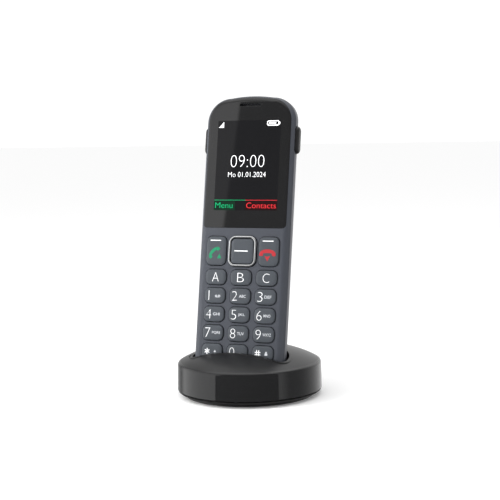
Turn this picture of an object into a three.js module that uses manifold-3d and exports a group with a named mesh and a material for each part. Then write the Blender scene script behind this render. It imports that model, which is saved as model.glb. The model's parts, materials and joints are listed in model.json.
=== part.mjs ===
// Cordless phone handset standing in its round charging cradle.
// Units are millimetres. +Z is up, -Y is the side the keys face, +X is the viewer's right.
// The origin is at the middle of the cradle's underside, on the table.
import * as THREE from 'three';
import Module from 'manifold-3d';
import { mergeVertices } from 'three/addons/utils/BufferGeometryUtils.js';

const wasm = await Module();
wasm.setup();

// ---------------------------------------------------------------- driving dimensions

// Fits
const GAP = 0.3; // between pieces that touch or are glued
const KEY_GAP = 0.35; // round a key in its hole
const SLOT_SIDE_GAP = 1.2; // handset side to cradle pocket
const SLOT_FRONT_GAP = 1.6; // handset face to cradle pocket, past the raised keys
const SLOT_BACK_GAP = 0.8; // handset back to cradle pocket
const PIN_GAP = 0.2; // round a charging pin in its holder
const THROUGH = 5.0; // how far a cutter runs past a face

// Cradle
const CRADLE_RADIUS = 36.3; // at the bottom of the wall
const CRADLE_DRAFT = 0.3; // the wall leans in by this much at its top
const CRADLE_HEIGHT = 25.0; // top of the dome
const RIM_HEIGHT = 17.6; // where the dome meets the rim rounding
const RIM_ROUND = 1.5; // rounding between dome and wall
const WALL_BOTTOM = 3.4; // lower edge of the cover wall
const COVER_WALL = 1.8;
const COVER_ROOF = 1.8;
const BASE_PLATE_BOTTOM = 0.8;
const BASE_PLATE_TOP = 2.6;
const PLINTH_INSET = 3.9; // foot step inside the wall
const PLINTH_BOTTOM = 0.2;
const FOOT_RING_INNER = 20.5;
const FOOT_RING_OUTER = 25.0;
const FOOT_RING_HEIGHT = 1.2;
const FOOT_STEP = 0.4; // chamfer and step of the plinth
const COVER_LIP = 1.2; // rib of the plate inside the cover's wall
const COVER_LIP_HEIGHT = 1.6;
const POCKET_WALL = 1.5;
const POCKET_PLAY = 0.8; // handset's bottom above the pocket's floor

// Handset, in its own frame: x across, y into the body, z along it
const LEAN = THREE.MathUtils.degToRad(11.2);
const FACE_OFFSET = -19.8; // where the plane of the handset's face meets the table
const HANDSET_HALF_WIDTH = 24.0;
const HANDSET_TOP = 152.5;
const HANDSET_BOTTOM = 11.0;
const SIDE_DEPTH = 3.0; // depth of the straight side before the back curves in
const TOP_CORNER = 12.5;
const TOP_CROWN = 0.9;
const BOTTOM_CORNER = 9.0;
const FACE_EDGE_ROUND = 3.3;
const BACK_END_ROUND = 9.0;
const SHELL_WALL = 1.6;
const FACE_WALL = 2.1;
const SHELL_SPLIT = 2.4; // depth of the parting line

// Window and display
const WINDOW_BOTTOM = 85.6;
const WINDOW_BORDER = 1.3; // housing left round the top of the window
const WINDOW_SIDE_BORDER = 2.0;
const WINDOW_CORNER = 2.0;
const WINDOW_THICKNESS = 1.0;
const DISPLAY_WIDTH = 33.84; // active area
const DISPLAY_HEIGHT = 45.12;
const DISPLAY_DROP = 35.6; // its centre below the handset's top
const DISPLAY_BORDER = 2.1; // glass and metal round the active area
const DISPLAY_THICKNESS = 2.2;
const DISPLAY_LAP = 0.8; // hole in the face larger than the active area
const EARPIECE_SLOT_WIDTH = 11.3;
const EARPIECE_SLOT_HEIGHT = 1.2;
const EARPIECE_DROP = 5.2; // slot below the handset's top
const EARPIECE_WIDTH = 13.0;
const EARPIECE_LENGTH = 6.0;
const EARPIECE_CORNER = 2.0;

// Keypad
const KEY_WIDTH = 11.0;
const KEY_HEIGHT = 7.6;
const KEY_CORNER = 2.7;
const KEY_COLUMN_PITCH = 13.5;
const KEY_ROW_PITCH = 9.22;
const KEY_ROW_TOP = 60.86; // centre of the direct-dial row
const KEY_PROUD = 0.95; // key tops above the face
const KEY_TRAVEL = 0.45;
const KEY_EDGE = 0.45;
const MAT_THICKNESS = 0.8;
const MAT_BORDER = 1.5; // mat beyond the keys
const CALL_KEY_WIDTH = 10.6;
const CALL_KEY_HEIGHT = 14.4;
const CALL_KEY_COLUMN = 14.0;
const CALL_ROW = 73.9; // centre of the call keys and the navigation key
const NAV_WIDTH = 14.7;
const NAV_HEIGHT = 15.2;
const NAV_CORNER = 3.6;
const NAV_RING = 1.0;
const NAV_PROUD = 0.1; // ring above the keys
const NAV_EDGE = 0.35;

// Side keys
const SIDE_KEY_CENTRE = 130.0;
const SIDE_KEY_LENGTH = 13.6;
const SIDE_KEY_WIDTH = 5.0;
const SIDE_KEY_DEPTH = 5.2; // depth of its middle line
const SIDE_KEY_PROUD = 1.3;
const SIDE_KEY_FOOT = 3.2; // inside the handset's side
const SIDE_KEY_EDGE = 0.9;
const SIDE_KEY_GAP = 0.45;

// Batteries: two AAA cells side by side
const CELL_RADIUS = 5.25;
const CELL_LENGTH = 44.5;
const CELL_NIPPLE_RADIUS = 1.9;
const CELL_NIPPLE_LENGTH = 0.8;
const CELL_SPACING = 0.7; // between the cells
const CELL_EDGE = 0.4;
const BACK_ROOM = 3.7; // cells to the ridge of the back
const CONTACT_ROOM = 3.0; // at each end of the cells
const CONTACT_PLATE = 0.5;
const CONTACT_BASE = 2.6; // radius of the spring at its plate
const CONTACT_TIP = 1.4;
const BAY_BOTTOM = 35.0;
const BAY_WALL = 1.1;
const COVER_THICKNESS = 1.2;
const COVER_LAP = 2.75; // beyond the bay's walls
const COVER_CORNER = 3.0;
const COVER_BOTTOM = 31.5;
const COVER_TOP = 96.0;
const LEDGE_WALL = 1.4;
const LEDGE_REACH = 2.5; // beyond the cover

// Speakers and microphone
const MIC_HEIGHT = 15.2;
const MIC_RADIUS = 2.0;
const MIC_SLOT_WIDTH = 3.0;
const MIC_SLOT_HEIGHT = 0.9;
const MIC_RISE = 0.6; // capsule above its slot
const RINGER_HEIGHT = 124.0;
const RINGER_RADIUS = 8.0;
const RINGER_THICKNESS = 4.0;
const RINGER_SINK = 5.0; // its back under the ridge of the back
const RINGER_SLOTS = 4;
const RINGER_SLOT_PITCH = 3.0;
const RINGER_SLOT_WIDTH = 12.0;
const RINGER_SLOT_HEIGHT = 1.3;

// Electronics
const BOARD_THICKNESS = 1.1;
const BOARD_DEPTH = 5.0;
const BOARD_HALF_WIDTH = 20.0;
const BOARD_CORNER = 8.0;
const BOARD_MARGIN = 2.0; // to the inside of the ends
const BOARD_NOTCH = 3.0; // beside each side key
const SHIELD_WIDTH = 24.0;
const SHIELD_LENGTH = 22.0;
const SHIELD_THICKNESS = 2.4;
const SHIELD_RISE = 1.0; // its middle above the ringer's
const ANTENNA_WIDTH = 28.0;
const ANTENNA_RISE = 3.0; // strip above the board
const ANTENNA_STRIP = 1.0;
const ANTENNA_TAIL = 9.0;
const ANTENNA_DROP = 3.6; // under the wall of the top
const CHARGE_PAD_OFFSET = 6.0; // each charging contact from the middle
const CHARGE_PAD_DEPTH = 10.5;
const CHARGE_PAD_SIZE = 4.0;
const CHARGE_PAD_SINK = 0.2; // inside the handset's bottom
const CHARGE_PAD_THICKNESS = 0.7;
const CHARGE_TAIL_WIDTH = 1.6;
const CHARGE_TAIL_THICKNESS = 0.5;
const PIN_RADIUS = 1.1;
const PIN_OVERTRAVEL = 0.5;
const PIN_HOLDER_HEIGHT = 2.6;
const PIN_HOLDER_MARGIN = 3.0; // beside each pin
const PIN_HOLDER_HALF_DEPTH = 2.6;

// Power inlet at the back of the cradle
const INLET_WIDTH = 12.0;
const INLET_HEIGHT = 9.6;
const INLET_LENGTH = 12.0;
const INLET_WALL = 1.2;
const INLET_SINK = 1.6; // inside the cradle's wall
const CHARGE_BOARD_HALF = 15.0;
const CHARGE_BOARD_AHEAD = 11.7; // in front of the inlet
const CHARGE_BOARD_ARM = 5.3; // beside the inlet
const CHARGE_BOARD_BOTTOM = 4.1;
const CHARGE_POST_RADIUS = 2.0;
const CHARGE_POST_INSET = 3.0; // from the board's side
const CHARGE_POST_BACK = 4.0; // from the board's front

// Screws
const SHELL_SCREW_OFFSET = 8.0;
const SHELL_SCREW_SINK = 5.4; // seat under the ridge of the back
const SHELL_POST_RADIUS = 2.1;
const SHELL_BORE_GAP = 0.1; // round a shank in its post
const SCREW_HEAD_RADIUS = 2.2;
const SCREW_SHANK_RADIUS = 1.15;
const SCREW_HEAD_HEIGHT = 1.3;
const SCREW_CROSS_HALF = 1.3;
const SCREW_CROSS_WIDTH = 0.6;
const SCREW_CROSS_DEPTH = 0.6;
const SCREW_INSET = 3.9; // from the plinth's side
const SCREW_ANGLES = [35, 145, 270];
const SCREW_SEAT = 1.7; // height above the heads
const SCREW_TIP = 10.0;
const BALLAST_HEIGHT = 6.0;
const BALLAST_BACK = -23.0;
const BALLAST_GAP = 2.6; // to the inside of the cover's wall
const BOSS_RADIUS = 3.0;

// Sizes that follow from the ones above
const BAY_FLOOR = BOARD_DEPTH + BOARD_THICKNESS + GAP;
const CELL_PITCH = 2 * CELL_RADIUS + CELL_SPACING;
const CELL_DEPTH = BAY_FLOOR + BAY_WALL + GAP + CELL_RADIUS; // depth of the cells' middle
const BAY_HALF_WIDTH = CELL_PITCH / 2 + CELL_RADIUS + GAP;
const BAY_TOP = BAY_BOTTOM + CELL_LENGTH + CELL_NIPPLE_LENGTH + 2 * CONTACT_ROOM;
const COVER_HALF_WIDTH = BAY_HALF_WIDTH + BAY_WALL + COVER_LAP;
const HANDSET_DEPTH = CELL_DEPTH + CELL_RADIUS + BACK_ROOM;
const SHELL_SCREW_HEIGHT = BAY_TOP + BAY_WALL + BOSS_RADIUS - 0.5;
const SHELL_SCREW_SEAT = HANDSET_DEPTH - SHELL_SCREW_SINK;
const DISPLAY_CENTRE = HANDSET_TOP - DISPLAY_DROP;
const EARPIECE_HEIGHT = HANDSET_TOP - EARPIECE_DROP;
const INLET_BOTTOM = BASE_PLATE_TOP + GAP;
const INLET_BACK = CRADLE_RADIUS - INLET_SINK;
const INLET_FRONT = INLET_BACK - INLET_LENGTH;
const CHARGE_BOARD_FRONT = INLET_FRONT - CHARGE_BOARD_AHEAD;
const CHARGE_BOARD_BACK = INLET_FRONT + CHARGE_BOARD_ARM;
const PLINTH_RADIUS = CRADLE_RADIUS - PLINTH_INSET;
const POCKET_FLOOR = HANDSET_BOTTOM - POCKET_PLAY;
const SCREW_CIRCLE = PLINTH_RADIUS - SCREW_INSET;

const ROUND_SEGMENTS = 72; // round the cradle
const SMALL_SEGMENTS = 16; // round pins, screws and cells
const CURVE_SEGMENTS = 2; // half the steps in a corner of a small piece
const FORM_SEGMENTS = 5; // half the steps in a corner of the handset

// ---------------------------------------------------------------- materials

function finish(colour, roughness, metalness = 0) {
  return new THREE.MeshStandardMaterial({ color: colour, roughness, metalness });
}

const FINISH = {
  cradle: finish('#2b2c2e', 0.45),
  cradleBase: finish('#242527', 0.6),
  rubber: finish('#1b1b1c', 0.9),
  faceShell: finish('#5b616c', 0.55),
  backShell: finish('#6a6d72', 0.55),
  sideKey: finish('#202123', 0.5),
  window: finish('#141416', 0.08),
  display: finish('#1c1c20', 0.3),
  key: finish('#626871', 0.5),
  chrome: finish('#d5d8da', 0.15, 1),
  mat: finish('#4a4d52', 0.8),
  board: finish('#1f5a3a', 0.5),
  tin: finish('#b9bcbf', 0.35, 1),
  gold: finish('#d8b25a', 0.3, 1),
  steel: finish('#8c9094', 0.4, 1),
  socket: finish('#1a1a1b', 0.6),
  cell: finish('#3c7d4f', 0.4),
  speaker: finish('#2a2b2d', 0.6),
};

// ---------------------------------------------------------------- solids

/** Turns a closed three.js geometry into a solid that can be joined and cut. */
function solid(geometry) {
  const bare = geometry.clone();
  bare.deleteAttribute('normal');
  bare.deleteAttribute('uv');
  const merged = mergeVertices(bare, 1e-4);
  return new wasm.Manifold(new wasm.Mesh({
    numProp: 3,
    vertProperties: new Float32Array(merged.attributes.position.array),
    triVerts: new Uint32Array(merged.index.array),
  }));
}

/** Turns a solid back into a three.js geometry. */
function geometryOf(body) {
  const mesh = body.getMesh();
  const geometry = new THREE.BufferGeometry();
  geometry.setAttribute('position', new THREE.BufferAttribute(mesh.vertProperties, 3));
  geometry.setIndex(new THREE.BufferAttribute(mesh.triVerts, 1));
  geometry.computeVertexNormals();
  return geometry;
}

/** A named mesh of one solid. */
function piece(name, body, material) {
  const mesh = new THREE.Mesh(geometryOf(body), material);
  mesh.name = name;
  return mesh;
}

/** A box between two corners. */
function box(x0, x1, y0, y1, z0, z1) {
  const geometry = new THREE.BoxGeometry(x1 - x0, y1 - y0, z1 - z0);
  geometry.translate((x0 + x1) / 2, (y0 + y1) / 2, (z0 + z1) / 2);
  return solid(geometry);
}

/** A solid of revolution about Z from (radius, height) points that start and end on the axis. */
function turned(points, segments = ROUND_SEGMENTS) {
  const profile = points.map(([r, z]) => new THREE.Vector2(r, z));
  const geometry = new THREE.LatheGeometry(profile, segments);
  geometry.rotateX(Math.PI / 2);
  return solid(geometry);
}

/** A ring of revolution about Z with a rectangular section. */
function ring(inner, outer, z0, z1, segments = ROUND_SEGMENTS) {
  const profile = [[inner, z0], [outer, z0], [outer, z1], [inner, z1], [inner, z0]];
  return turned(profile, segments);
}

/** An upright round bar. */
function rod(x, y, radius, z0, z1, segments = SMALL_SEGMENTS) {
  const geometry = new THREE.CylinderGeometry(radius, radius, z1 - z0, segments);
  geometry.rotateX(Math.PI / 2);
  geometry.translate(x, y, (z0 + z1) / 2);
  return solid(geometry);
}

/** A round bar that runs into the handset, along y. */
function rodAlongY(x, z, radius, y0, y1, segments = SMALL_SEGMENTS) {
  const geometry = new THREE.CylinderGeometry(radius, radius, y1 - y0, segments);
  geometry.translate(x, (y0 + y1) / 2, z);
  return solid(geometry);
}

/** A rounded rectangle about a centre. */
function roundedRect(width, height, radius, cx = 0, cy = 0) {
  const shape = new THREE.Shape();
  const a = width / 2;
  const b = height / 2;
  const r = Math.min(radius, a, b);
  shape.absarc(cx + a - r, cy - b + r, r, -Math.PI / 2, 0);
  shape.absarc(cx + a - r, cy + b - r, r, 0, Math.PI / 2);
  shape.absarc(cx - a + r, cy + b - r, r, Math.PI / 2, Math.PI);
  shape.absarc(cx - a + r, cy - b + r, r, Math.PI, Math.PI * 1.5);
  shape.closePath();
  return shape;
}

/** A shape drawn across and along the handset, run into its depth from y0 to y1. */
function intoDepth(shape, y0, y1, corner = CURVE_SEGMENTS) {
  const geometry = new THREE.ExtrudeGeometry(shape, {
    depth: y1 - y0, bevelEnabled: false, curveSegments: corner,
  });
  geometry.rotateX(Math.PI / 2);
  geometry.translate(0, y1, 0);
  return solid(geometry);
}

/** The same, with its front edge at y0 rounded by `edge`. */
function cushioned(shape, y0, y1, edge, steps = 2, corner = CURVE_SEGMENTS) {
  const geometry = new THREE.ExtrudeGeometry(shape, {
    depth: y1 - y0 + 2 * edge,
    bevelEnabled: true,
    bevelThickness: edge,
    bevelSize: edge,
    bevelOffset: -edge,
    bevelSegments: steps,
    curveSegments: corner,
  });
  geometry.rotateX(Math.PI / 2);
  geometry.translate(0, y1 + 3 * edge, 0);
  const long = solid(geometry);
  const far = 400;
  return long.intersect(box(-far, far, y0 - far, y1, -far, far));
}

/** A shape drawn across the handset, run along it from z0 to z1. */
function alongHandset(shape, z0, z1) {
  const geometry = new THREE.ExtrudeGeometry(shape, {
    depth: z1 - z0, bevelEnabled: false, curveSegments: 3 * FORM_SEGMENTS,
  });
  geometry.translate(0, 0, z0);
  return solid(geometry);
}

// ---------------------------------------------------------------- handset form

/** Handset outline as seen from the front, drawn in by `inset`. */
function handsetOutline(inset) {
  const a = HANDSET_HALF_WIDTH - inset;
  const top = HANDSET_TOP - inset;
  const shoulder = top - TOP_CROWN;
  const rt = TOP_CORNER - inset;
  const rb = Math.max(BOTTOM_CORNER - inset, 1);
  const low = HANDSET_BOTTOM + inset;
  const shape = new THREE.Shape();
  shape.absarc(a - rb, low + rb, rb, -Math.PI / 2, 0);
  shape.absarc(a - rt, shoulder - rt, rt, 0, Math.PI / 2);
  shape.quadraticCurveTo(0, top + TOP_CROWN, -a + rt, shoulder);
  shape.absarc(-a + rt, shoulder - rt, rt, Math.PI / 2, Math.PI);
  shape.absarc(-a + rb, low + rb, rb, Math.PI, Math.PI * 1.5);
  shape.closePath();
  return shape;
}

/** Handset cross-section: flat face, short straight sides and a boat-shaped back. */
function handsetSection(side, front, back, edge = 0) {
  const a = HANDSET_HALF_WIDTH + side;
  const shape = new THREE.Shape();
  shape.moveTo(-a + edge, -front);
  shape.lineTo(a - edge, -front);
  if (edge > 0) {
    shape.absarc(a - edge, edge - front, edge, -Math.PI / 2, 0);
  }
  shape.absellipse(0, SIDE_DEPTH, a, HANDSET_DEPTH + back - SIDE_DEPTH, 0, Math.PI, false, 0);
  if (edge > 0) {
    shape.absarc(edge - a, edge - front, edge, Math.PI, Math.PI * 1.5);
  }
  shape.closePath();
  return shape;
}

/** Side view of the handset with its two back ends rounded. */
function handsetSideView(inset) {
  const back = HANDSET_DEPTH - inset;
  const top = HANDSET_TOP - inset;
  const low = HANDSET_BOTTOM + inset;
  const r = BACK_END_ROUND - inset;
  const shape = new THREE.Shape();
  shape.moveTo(-THROUGH, low);
  shape.lineTo(back - r, low);
  shape.absarc(back - r, low + r, r, -Math.PI / 2, 0);
  shape.absarc(back - r, top - r, r, 0, Math.PI / 2);
  shape.lineTo(-THROUGH, top);
  shape.closePath();
  const geometry = new THREE.ExtrudeGeometry(shape, {
    depth: 4 * HANDSET_HALF_WIDTH, bevelEnabled: false, curveSegments: FORM_SEGMENTS,
  });
  // The shape's x runs into the handset and its y along it.
  geometry.rotateX(Math.PI / 2);
  geometry.rotateZ(Math.PI / 2);
  geometry.translate(-2 * HANDSET_HALF_WIDTH, 0, 0);
  return solid(geometry);
}

/** The whole handset as one solid, drawn in by `inset` from every side. */
function handsetForm(inset, face = inset) {
  const edge = Math.max(FACE_EDGE_ROUND - inset, 0.5);
  const front = cushioned(
    handsetOutline(inset), face, 2 * HANDSET_DEPTH, edge, inset > 0 ? 2 : 4, FORM_SEGMENTS,
  );
  const section = alongHandset(handsetSection(-inset, 0, -inset), 0, 2 * HANDSET_TOP);
  return front.intersect(section).intersect(handsetSideView(inset));
}

/** Everything between two depths of the handset. */
function slab(y0, y1) {
  const reach = 2 * HANDSET_TOP;
  return box(-reach, reach, y0, y1, -reach, reach);
}

const outerForm = handsetForm(0);
const innerForm = handsetForm(SHELL_WALL, FACE_WALL);

// ---------------------------------------------------------------- key layout

const KEYPAD = [
  ['a', 'b', 'c'],
  ['1', '2', '3'],
  ['4', '5', '6'],
  ['7', '8', '9'],
  ['star', '0', 'hash'],
];

/** Every key of the front: its name, centre, size and corner. */
function keyLayout() {
  const keys = [];
  KEYPAD.forEach((row, i) => {
    row.forEach((label, j) => {
      keys.push({
        name: `key_${label}`,
        x: (j - 1) * KEY_COLUMN_PITCH,
        z: KEY_ROW_TOP - i * KEY_ROW_PITCH,
        width: KEY_WIDTH,
        height: KEY_HEIGHT,
        corner: KEY_CORNER,
      });
    });
  });
  const call = { z: CALL_ROW, width: CALL_KEY_WIDTH, height: CALL_KEY_HEIGHT, corner: KEY_CORNER };
  keys.push({ name: 'talk_key', x: -CALL_KEY_COLUMN, ...call });
  keys.push({ name: 'end_key', x: CALL_KEY_COLUMN, ...call });
  return keys;
}

const KEYS = keyLayout();
const KEY_BACK = FACE_WALL - 0.1;
const MAT_FRONT = KEY_BACK + KEY_TRAVEL + 0.2;

/** A key outline grown by `grow`. */
function keyOutline(key, grow) {
  return roundedRect(key.width + 2 * grow, key.height + 2 * grow, key.corner + grow, key.x, key.z);
}

/** The side key's outline, drawn in depth and along the handset. */
function sideKeyBar(side, grow, from, to, edge) {
  const shape = roundedRect(
    SIDE_KEY_WIDTH + 2 * grow, SIDE_KEY_LENGTH + 2 * grow, SIDE_KEY_WIDTH / 2 + grow,
  );
  const geometry = new THREE.ExtrudeGeometry(shape, {
    depth: to - from - edge,
    bevelEnabled: edge > 0,
    bevelThickness: edge,
    bevelSize: edge,
    bevelOffset: -edge,
    bevelSegments: 2,
    curveSegments: CURVE_SEGMENTS + 2,
  });
  geometry.rotateX(Math.PI / 2);
  geometry.rotateZ(Math.PI / 2);
  geometry.translate(from, SIDE_KEY_DEPTH, SIDE_KEY_CENTRE);
  const bar = solid(geometry);
  return side > 0 ? bar : bar.mirror([1, 0, 0]);
}

// ---------------------------------------------------------------- handset pieces

/** Window outline: it follows the top of the handset. */
function windowOutline(grow) {
  const a = HANDSET_HALF_WIDTH - WINDOW_SIDE_BORDER + grow;
  const top = HANDSET_TOP - WINDOW_BORDER + grow;
  const low = WINDOW_BOTTOM - grow;
  const rt = TOP_CORNER - WINDOW_BORDER + grow;
  const rb = WINDOW_CORNER + grow;
  const shape = new THREE.Shape();
  shape.absarc(a - rb, low + rb, rb, -Math.PI / 2, 0);
  shape.absarc(a - rt, top - TOP_CROWN - rt, rt, 0, Math.PI / 2);
  shape.quadraticCurveTo(0, top + TOP_CROWN, -a + rt, top - TOP_CROWN);
  shape.absarc(-a + rt, top - TOP_CROWN - rt, rt, Math.PI / 2, Math.PI);
  shape.absarc(-a + rb, low + rb, rb, Math.PI, Math.PI * 1.5);
  shape.closePath();
  return shape;
}

function earpieceSlot() {
  const shape = roundedRect(
    EARPIECE_SLOT_WIDTH, EARPIECE_SLOT_HEIGHT, EARPIECE_SLOT_HEIGHT / 2, 0, EARPIECE_HEIGHT,
  );
  return intoDepth(shape, -THROUGH, THROUGH);
}

/** Solid room for the side keys, cut from both shells. */
function sideKeyRoom() {
  const from = HANDSET_HALF_WIDTH - SIDE_KEY_FOOT - KEY_GAP;
  const to = HANDSET_HALF_WIDTH + THROUGH;
  const right = sideKeyBar(1, SIDE_KEY_GAP, from, to, 0);
  const left = sideKeyBar(-1, SIDE_KEY_GAP, from, to, 0);
  return right.add(left);
}

function frontShell() {
  let shell = outerForm.intersect(slab(-THROUGH, SHELL_SPLIT - GAP / 2));
  shell = shell.subtract(intoDepth(handsetOutline(SHELL_WALL), FACE_WALL, BOARD_DEPTH));
  for (const side of [-1, 1]) {
    const x = side * SHELL_SCREW_OFFSET;
    const post = rodAlongY(
      x, SHELL_SCREW_HEIGHT, SHELL_POST_RADIUS, FACE_WALL - GAP, BOARD_DEPTH - GAP,
    );
    const bore = rodAlongY(
      x, SHELL_SCREW_HEIGHT, SCREW_SHANK_RADIUS + SHELL_BORE_GAP, FACE_WALL + GAP, BOARD_DEPTH,
    );
    shell = shell.add(post).subtract(bore);
  }
  shell = shell.subtract(intoDepth(
    windowOutline(GAP / 2), -THROUGH, WINDOW_THICKNESS + GAP, FORM_SEGMENTS,
  ));
  const display = roundedRect(
    DISPLAY_WIDTH + 2 * DISPLAY_LAP, DISPLAY_HEIGHT + 2 * DISPLAY_LAP, DISPLAY_LAP,
    0, DISPLAY_CENTRE,
  );
  shell = shell.subtract(intoDepth(display, -THROUGH, THROUGH));
  shell = shell.subtract(earpieceSlot());
  for (const key of KEYS) {
    shell = shell.subtract(intoDepth(keyOutline(key, KEY_GAP), -THROUGH, THROUGH));
  }
  const nav = roundedRect(
    NAV_WIDTH + 2 * KEY_GAP, NAV_HEIGHT + 2 * KEY_GAP, NAV_CORNER + KEY_GAP, 0, CALL_ROW,
  );
  shell = shell.subtract(intoDepth(nav, -THROUGH, THROUGH));
  const mic = roundedRect(MIC_SLOT_WIDTH, MIC_SLOT_HEIGHT, MIC_SLOT_HEIGHT / 2, 0, MIC_HEIGHT);
  shell = shell.subtract(intoDepth(mic, -THROUGH, THROUGH));
  return shell.subtract(sideKeyRoom());
}

/** Room under the battery cover, `grow` larger than the cover. */
function coverRoom(grow) {
  const shape = roundedRect(
    2 * (COVER_HALF_WIDTH + grow), COVER_TOP - COVER_BOTTOM + 2 * grow, COVER_CORNER + grow,
    0, (COVER_TOP + COVER_BOTTOM) / 2,
  );
  return intoDepth(shape, HANDSET_DEPTH / 2, 2 * HANDSET_DEPTH);
}

function rearShell() {
  const rear = outerForm.intersect(slab(SHELL_SPLIT + GAP / 2, 2 * HANDSET_DEPTH));
  const under = COVER_THICKNESS + GAP;
  let shell = rear.subtract(innerForm).subtract(coverRoom(GAP));
  // A ledge under the cover joins the tray to the walls.
  const ledge = handsetForm(under).subtract(handsetForm(under + LEDGE_WALL));
  shell = shell.add(ledge.intersect(coverRoom(LEDGE_REACH)));
  const tray = box(
    -BAY_HALF_WIDTH - BAY_WALL, BAY_HALF_WIDTH + BAY_WALL,
    BAY_FLOOR, HANDSET_DEPTH, BAY_BOTTOM - BAY_WALL, BAY_TOP + BAY_WALL,
  );
  shell = shell.add(tray.intersect(handsetForm(under)));
  for (const side of [-1, 1]) {
    const boss = rodAlongY(
      side * SHELL_SCREW_OFFSET, SHELL_SCREW_HEIGHT, BOSS_RADIUS, BAY_FLOOR, HANDSET_DEPTH,
    );
    shell = shell.add(boss.intersect(handsetForm(under)));
  }
  shell = shell.subtract(box(
    -BAY_HALF_WIDTH, BAY_HALF_WIDTH, BAY_FLOOR + BAY_WALL, 2 * HANDSET_DEPTH, BAY_BOTTOM, BAY_TOP,
  ));
  for (const side of [-1, 1]) {
    const x = side * SHELL_SCREW_OFFSET;
    const clearance = SCREW_SHANK_RADIUS + GAP;
    shell = shell.subtract(rodAlongY(x, SHELL_SCREW_HEIGHT, clearance, 0, 2 * HANDSET_DEPTH));
    const head = SCREW_HEAD_RADIUS + GAP;
    shell = shell.subtract(
      rodAlongY(x, SHELL_SCREW_HEIGHT, head, SHELL_SCREW_SEAT, 2 * HANDSET_DEPTH),
    );
  }
  // Windows for the charging contacts in the bottom end
  const half = CHARGE_PAD_SIZE / 2 + GAP;
  for (const x of [-CHARGE_PAD_OFFSET, CHARGE_PAD_OFFSET]) {
    shell = shell.subtract(box(
      x - half, x + half, CHARGE_PAD_DEPTH - half, CHARGE_PAD_DEPTH + half,
      HANDSET_BOTTOM - THROUGH, HANDSET_BOTTOM + SHELL_WALL + 1,
    ));
  }
  // Ringer slots through the back
  for (let i = 0; i < RINGER_SLOTS; i += 1) {
    const z = RINGER_HEIGHT + (i - (RINGER_SLOTS - 1) / 2) * RINGER_SLOT_PITCH;
    const slot = roundedRect(RINGER_SLOT_WIDTH, RINGER_SLOT_HEIGHT, RINGER_SLOT_HEIGHT / 2, 0, z);
    shell = shell.subtract(intoDepth(slot, HANDSET_DEPTH / 2, 2 * HANDSET_DEPTH));
  }
  return shell.subtract(sideKeyRoom());
}

function batteryCover() {
  const skin = outerForm.subtract(handsetForm(COVER_THICKNESS));
  return skin.intersect(coverRoom(0));
}

function displayWindow() {
  const blank = outerForm.intersect(
    intoDepth(windowOutline(-GAP / 2), -THROUGH, WINDOW_THICKNESS, FORM_SEGMENTS),
  );
  return blank.subtract(earpieceSlot());
}

function displayModule() {
  const front = FACE_WALL + GAP;
  const shape = roundedRect(
    DISPLAY_WIDTH + 2 * DISPLAY_BORDER, DISPLAY_HEIGHT + 2 * DISPLAY_BORDER, 1, 0, DISPLAY_CENTRE,
  );
  return intoDepth(shape, front, front + DISPLAY_THICKNESS);
}

/** A key of the front, with its top edge rounded. */
function frontKey(key) {
  return cushioned(keyOutline(key, 0), -KEY_PROUD, KEY_BACK, KEY_EDGE);
}

function navRing() {
  const outer = roundedRect(NAV_WIDTH, NAV_HEIGHT, NAV_CORNER, 0, CALL_ROW);
  const inner = roundedRect(
    NAV_WIDTH - 2 * NAV_RING, NAV_HEIGHT - 2 * NAV_RING, NAV_CORNER - NAV_RING, 0, CALL_ROW,
  );
  const body = cushioned(outer, -KEY_PROUD - NAV_PROUD, KEY_BACK, NAV_EDGE);
  return body.subtract(intoDepth(inner, -THROUGH, THROUGH));
}

function navCentre() {
  const shrink = 2 * (NAV_RING + KEY_GAP);
  const shape = roundedRect(
    NAV_WIDTH - shrink, NAV_HEIGHT - shrink, NAV_CORNER - NAV_RING - KEY_GAP, 0, CALL_ROW,
  );
  return cushioned(shape, -KEY_PROUD, KEY_BACK, KEY_EDGE);
}

function keypadMat() {
  const last = KEY_ROW_TOP - (KEYPAD.length - 1) * KEY_ROW_PITCH;
  const low = last - KEY_HEIGHT / 2 - MAT_BORDER;
  const high = CALL_ROW + NAV_HEIGHT / 2 + MAT_BORDER;
  const width = 2 * (KEY_COLUMN_PITCH + KEY_WIDTH / 2 + MAT_BORDER);
  const shape = roundedRect(width, high - low, KEY_CORNER, 0, (low + high) / 2);
  return intoDepth(shape, MAT_FRONT, MAT_FRONT + MAT_THICKNESS);
}

function circuitBoard() {
  const low = HANDSET_BOTTOM + SHELL_WALL + BOARD_MARGIN;
  const high = HANDSET_TOP - SHELL_WALL - BOARD_MARGIN;
  const shape = roundedRect(
    2 * BOARD_HALF_WIDTH, high - low, BOARD_CORNER, 0, (low + high) / 2,
  );
  let board = intoDepth(shape, BOARD_DEPTH, BOARD_DEPTH + BOARD_THICKNESS);
  for (const side of [-1, 1]) {
    board = board.subtract(box(
      side * BOARD_HALF_WIDTH - BOARD_NOTCH, side * BOARD_HALF_WIDTH + BOARD_NOTCH, 0, HANDSET_DEPTH,
      SIDE_KEY_CENTRE - SIDE_KEY_LENGTH / 2 - 1, SIDE_KEY_CENTRE + SIDE_KEY_LENGTH / 2 + 1,
    ));
    board = board.subtract(rodAlongY(
      side * SHELL_SCREW_OFFSET, SHELL_SCREW_HEIGHT, SCREW_SHANK_RADIUS + GAP, 0, HANDSET_DEPTH,
    ));
  }
  return board;
}

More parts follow.
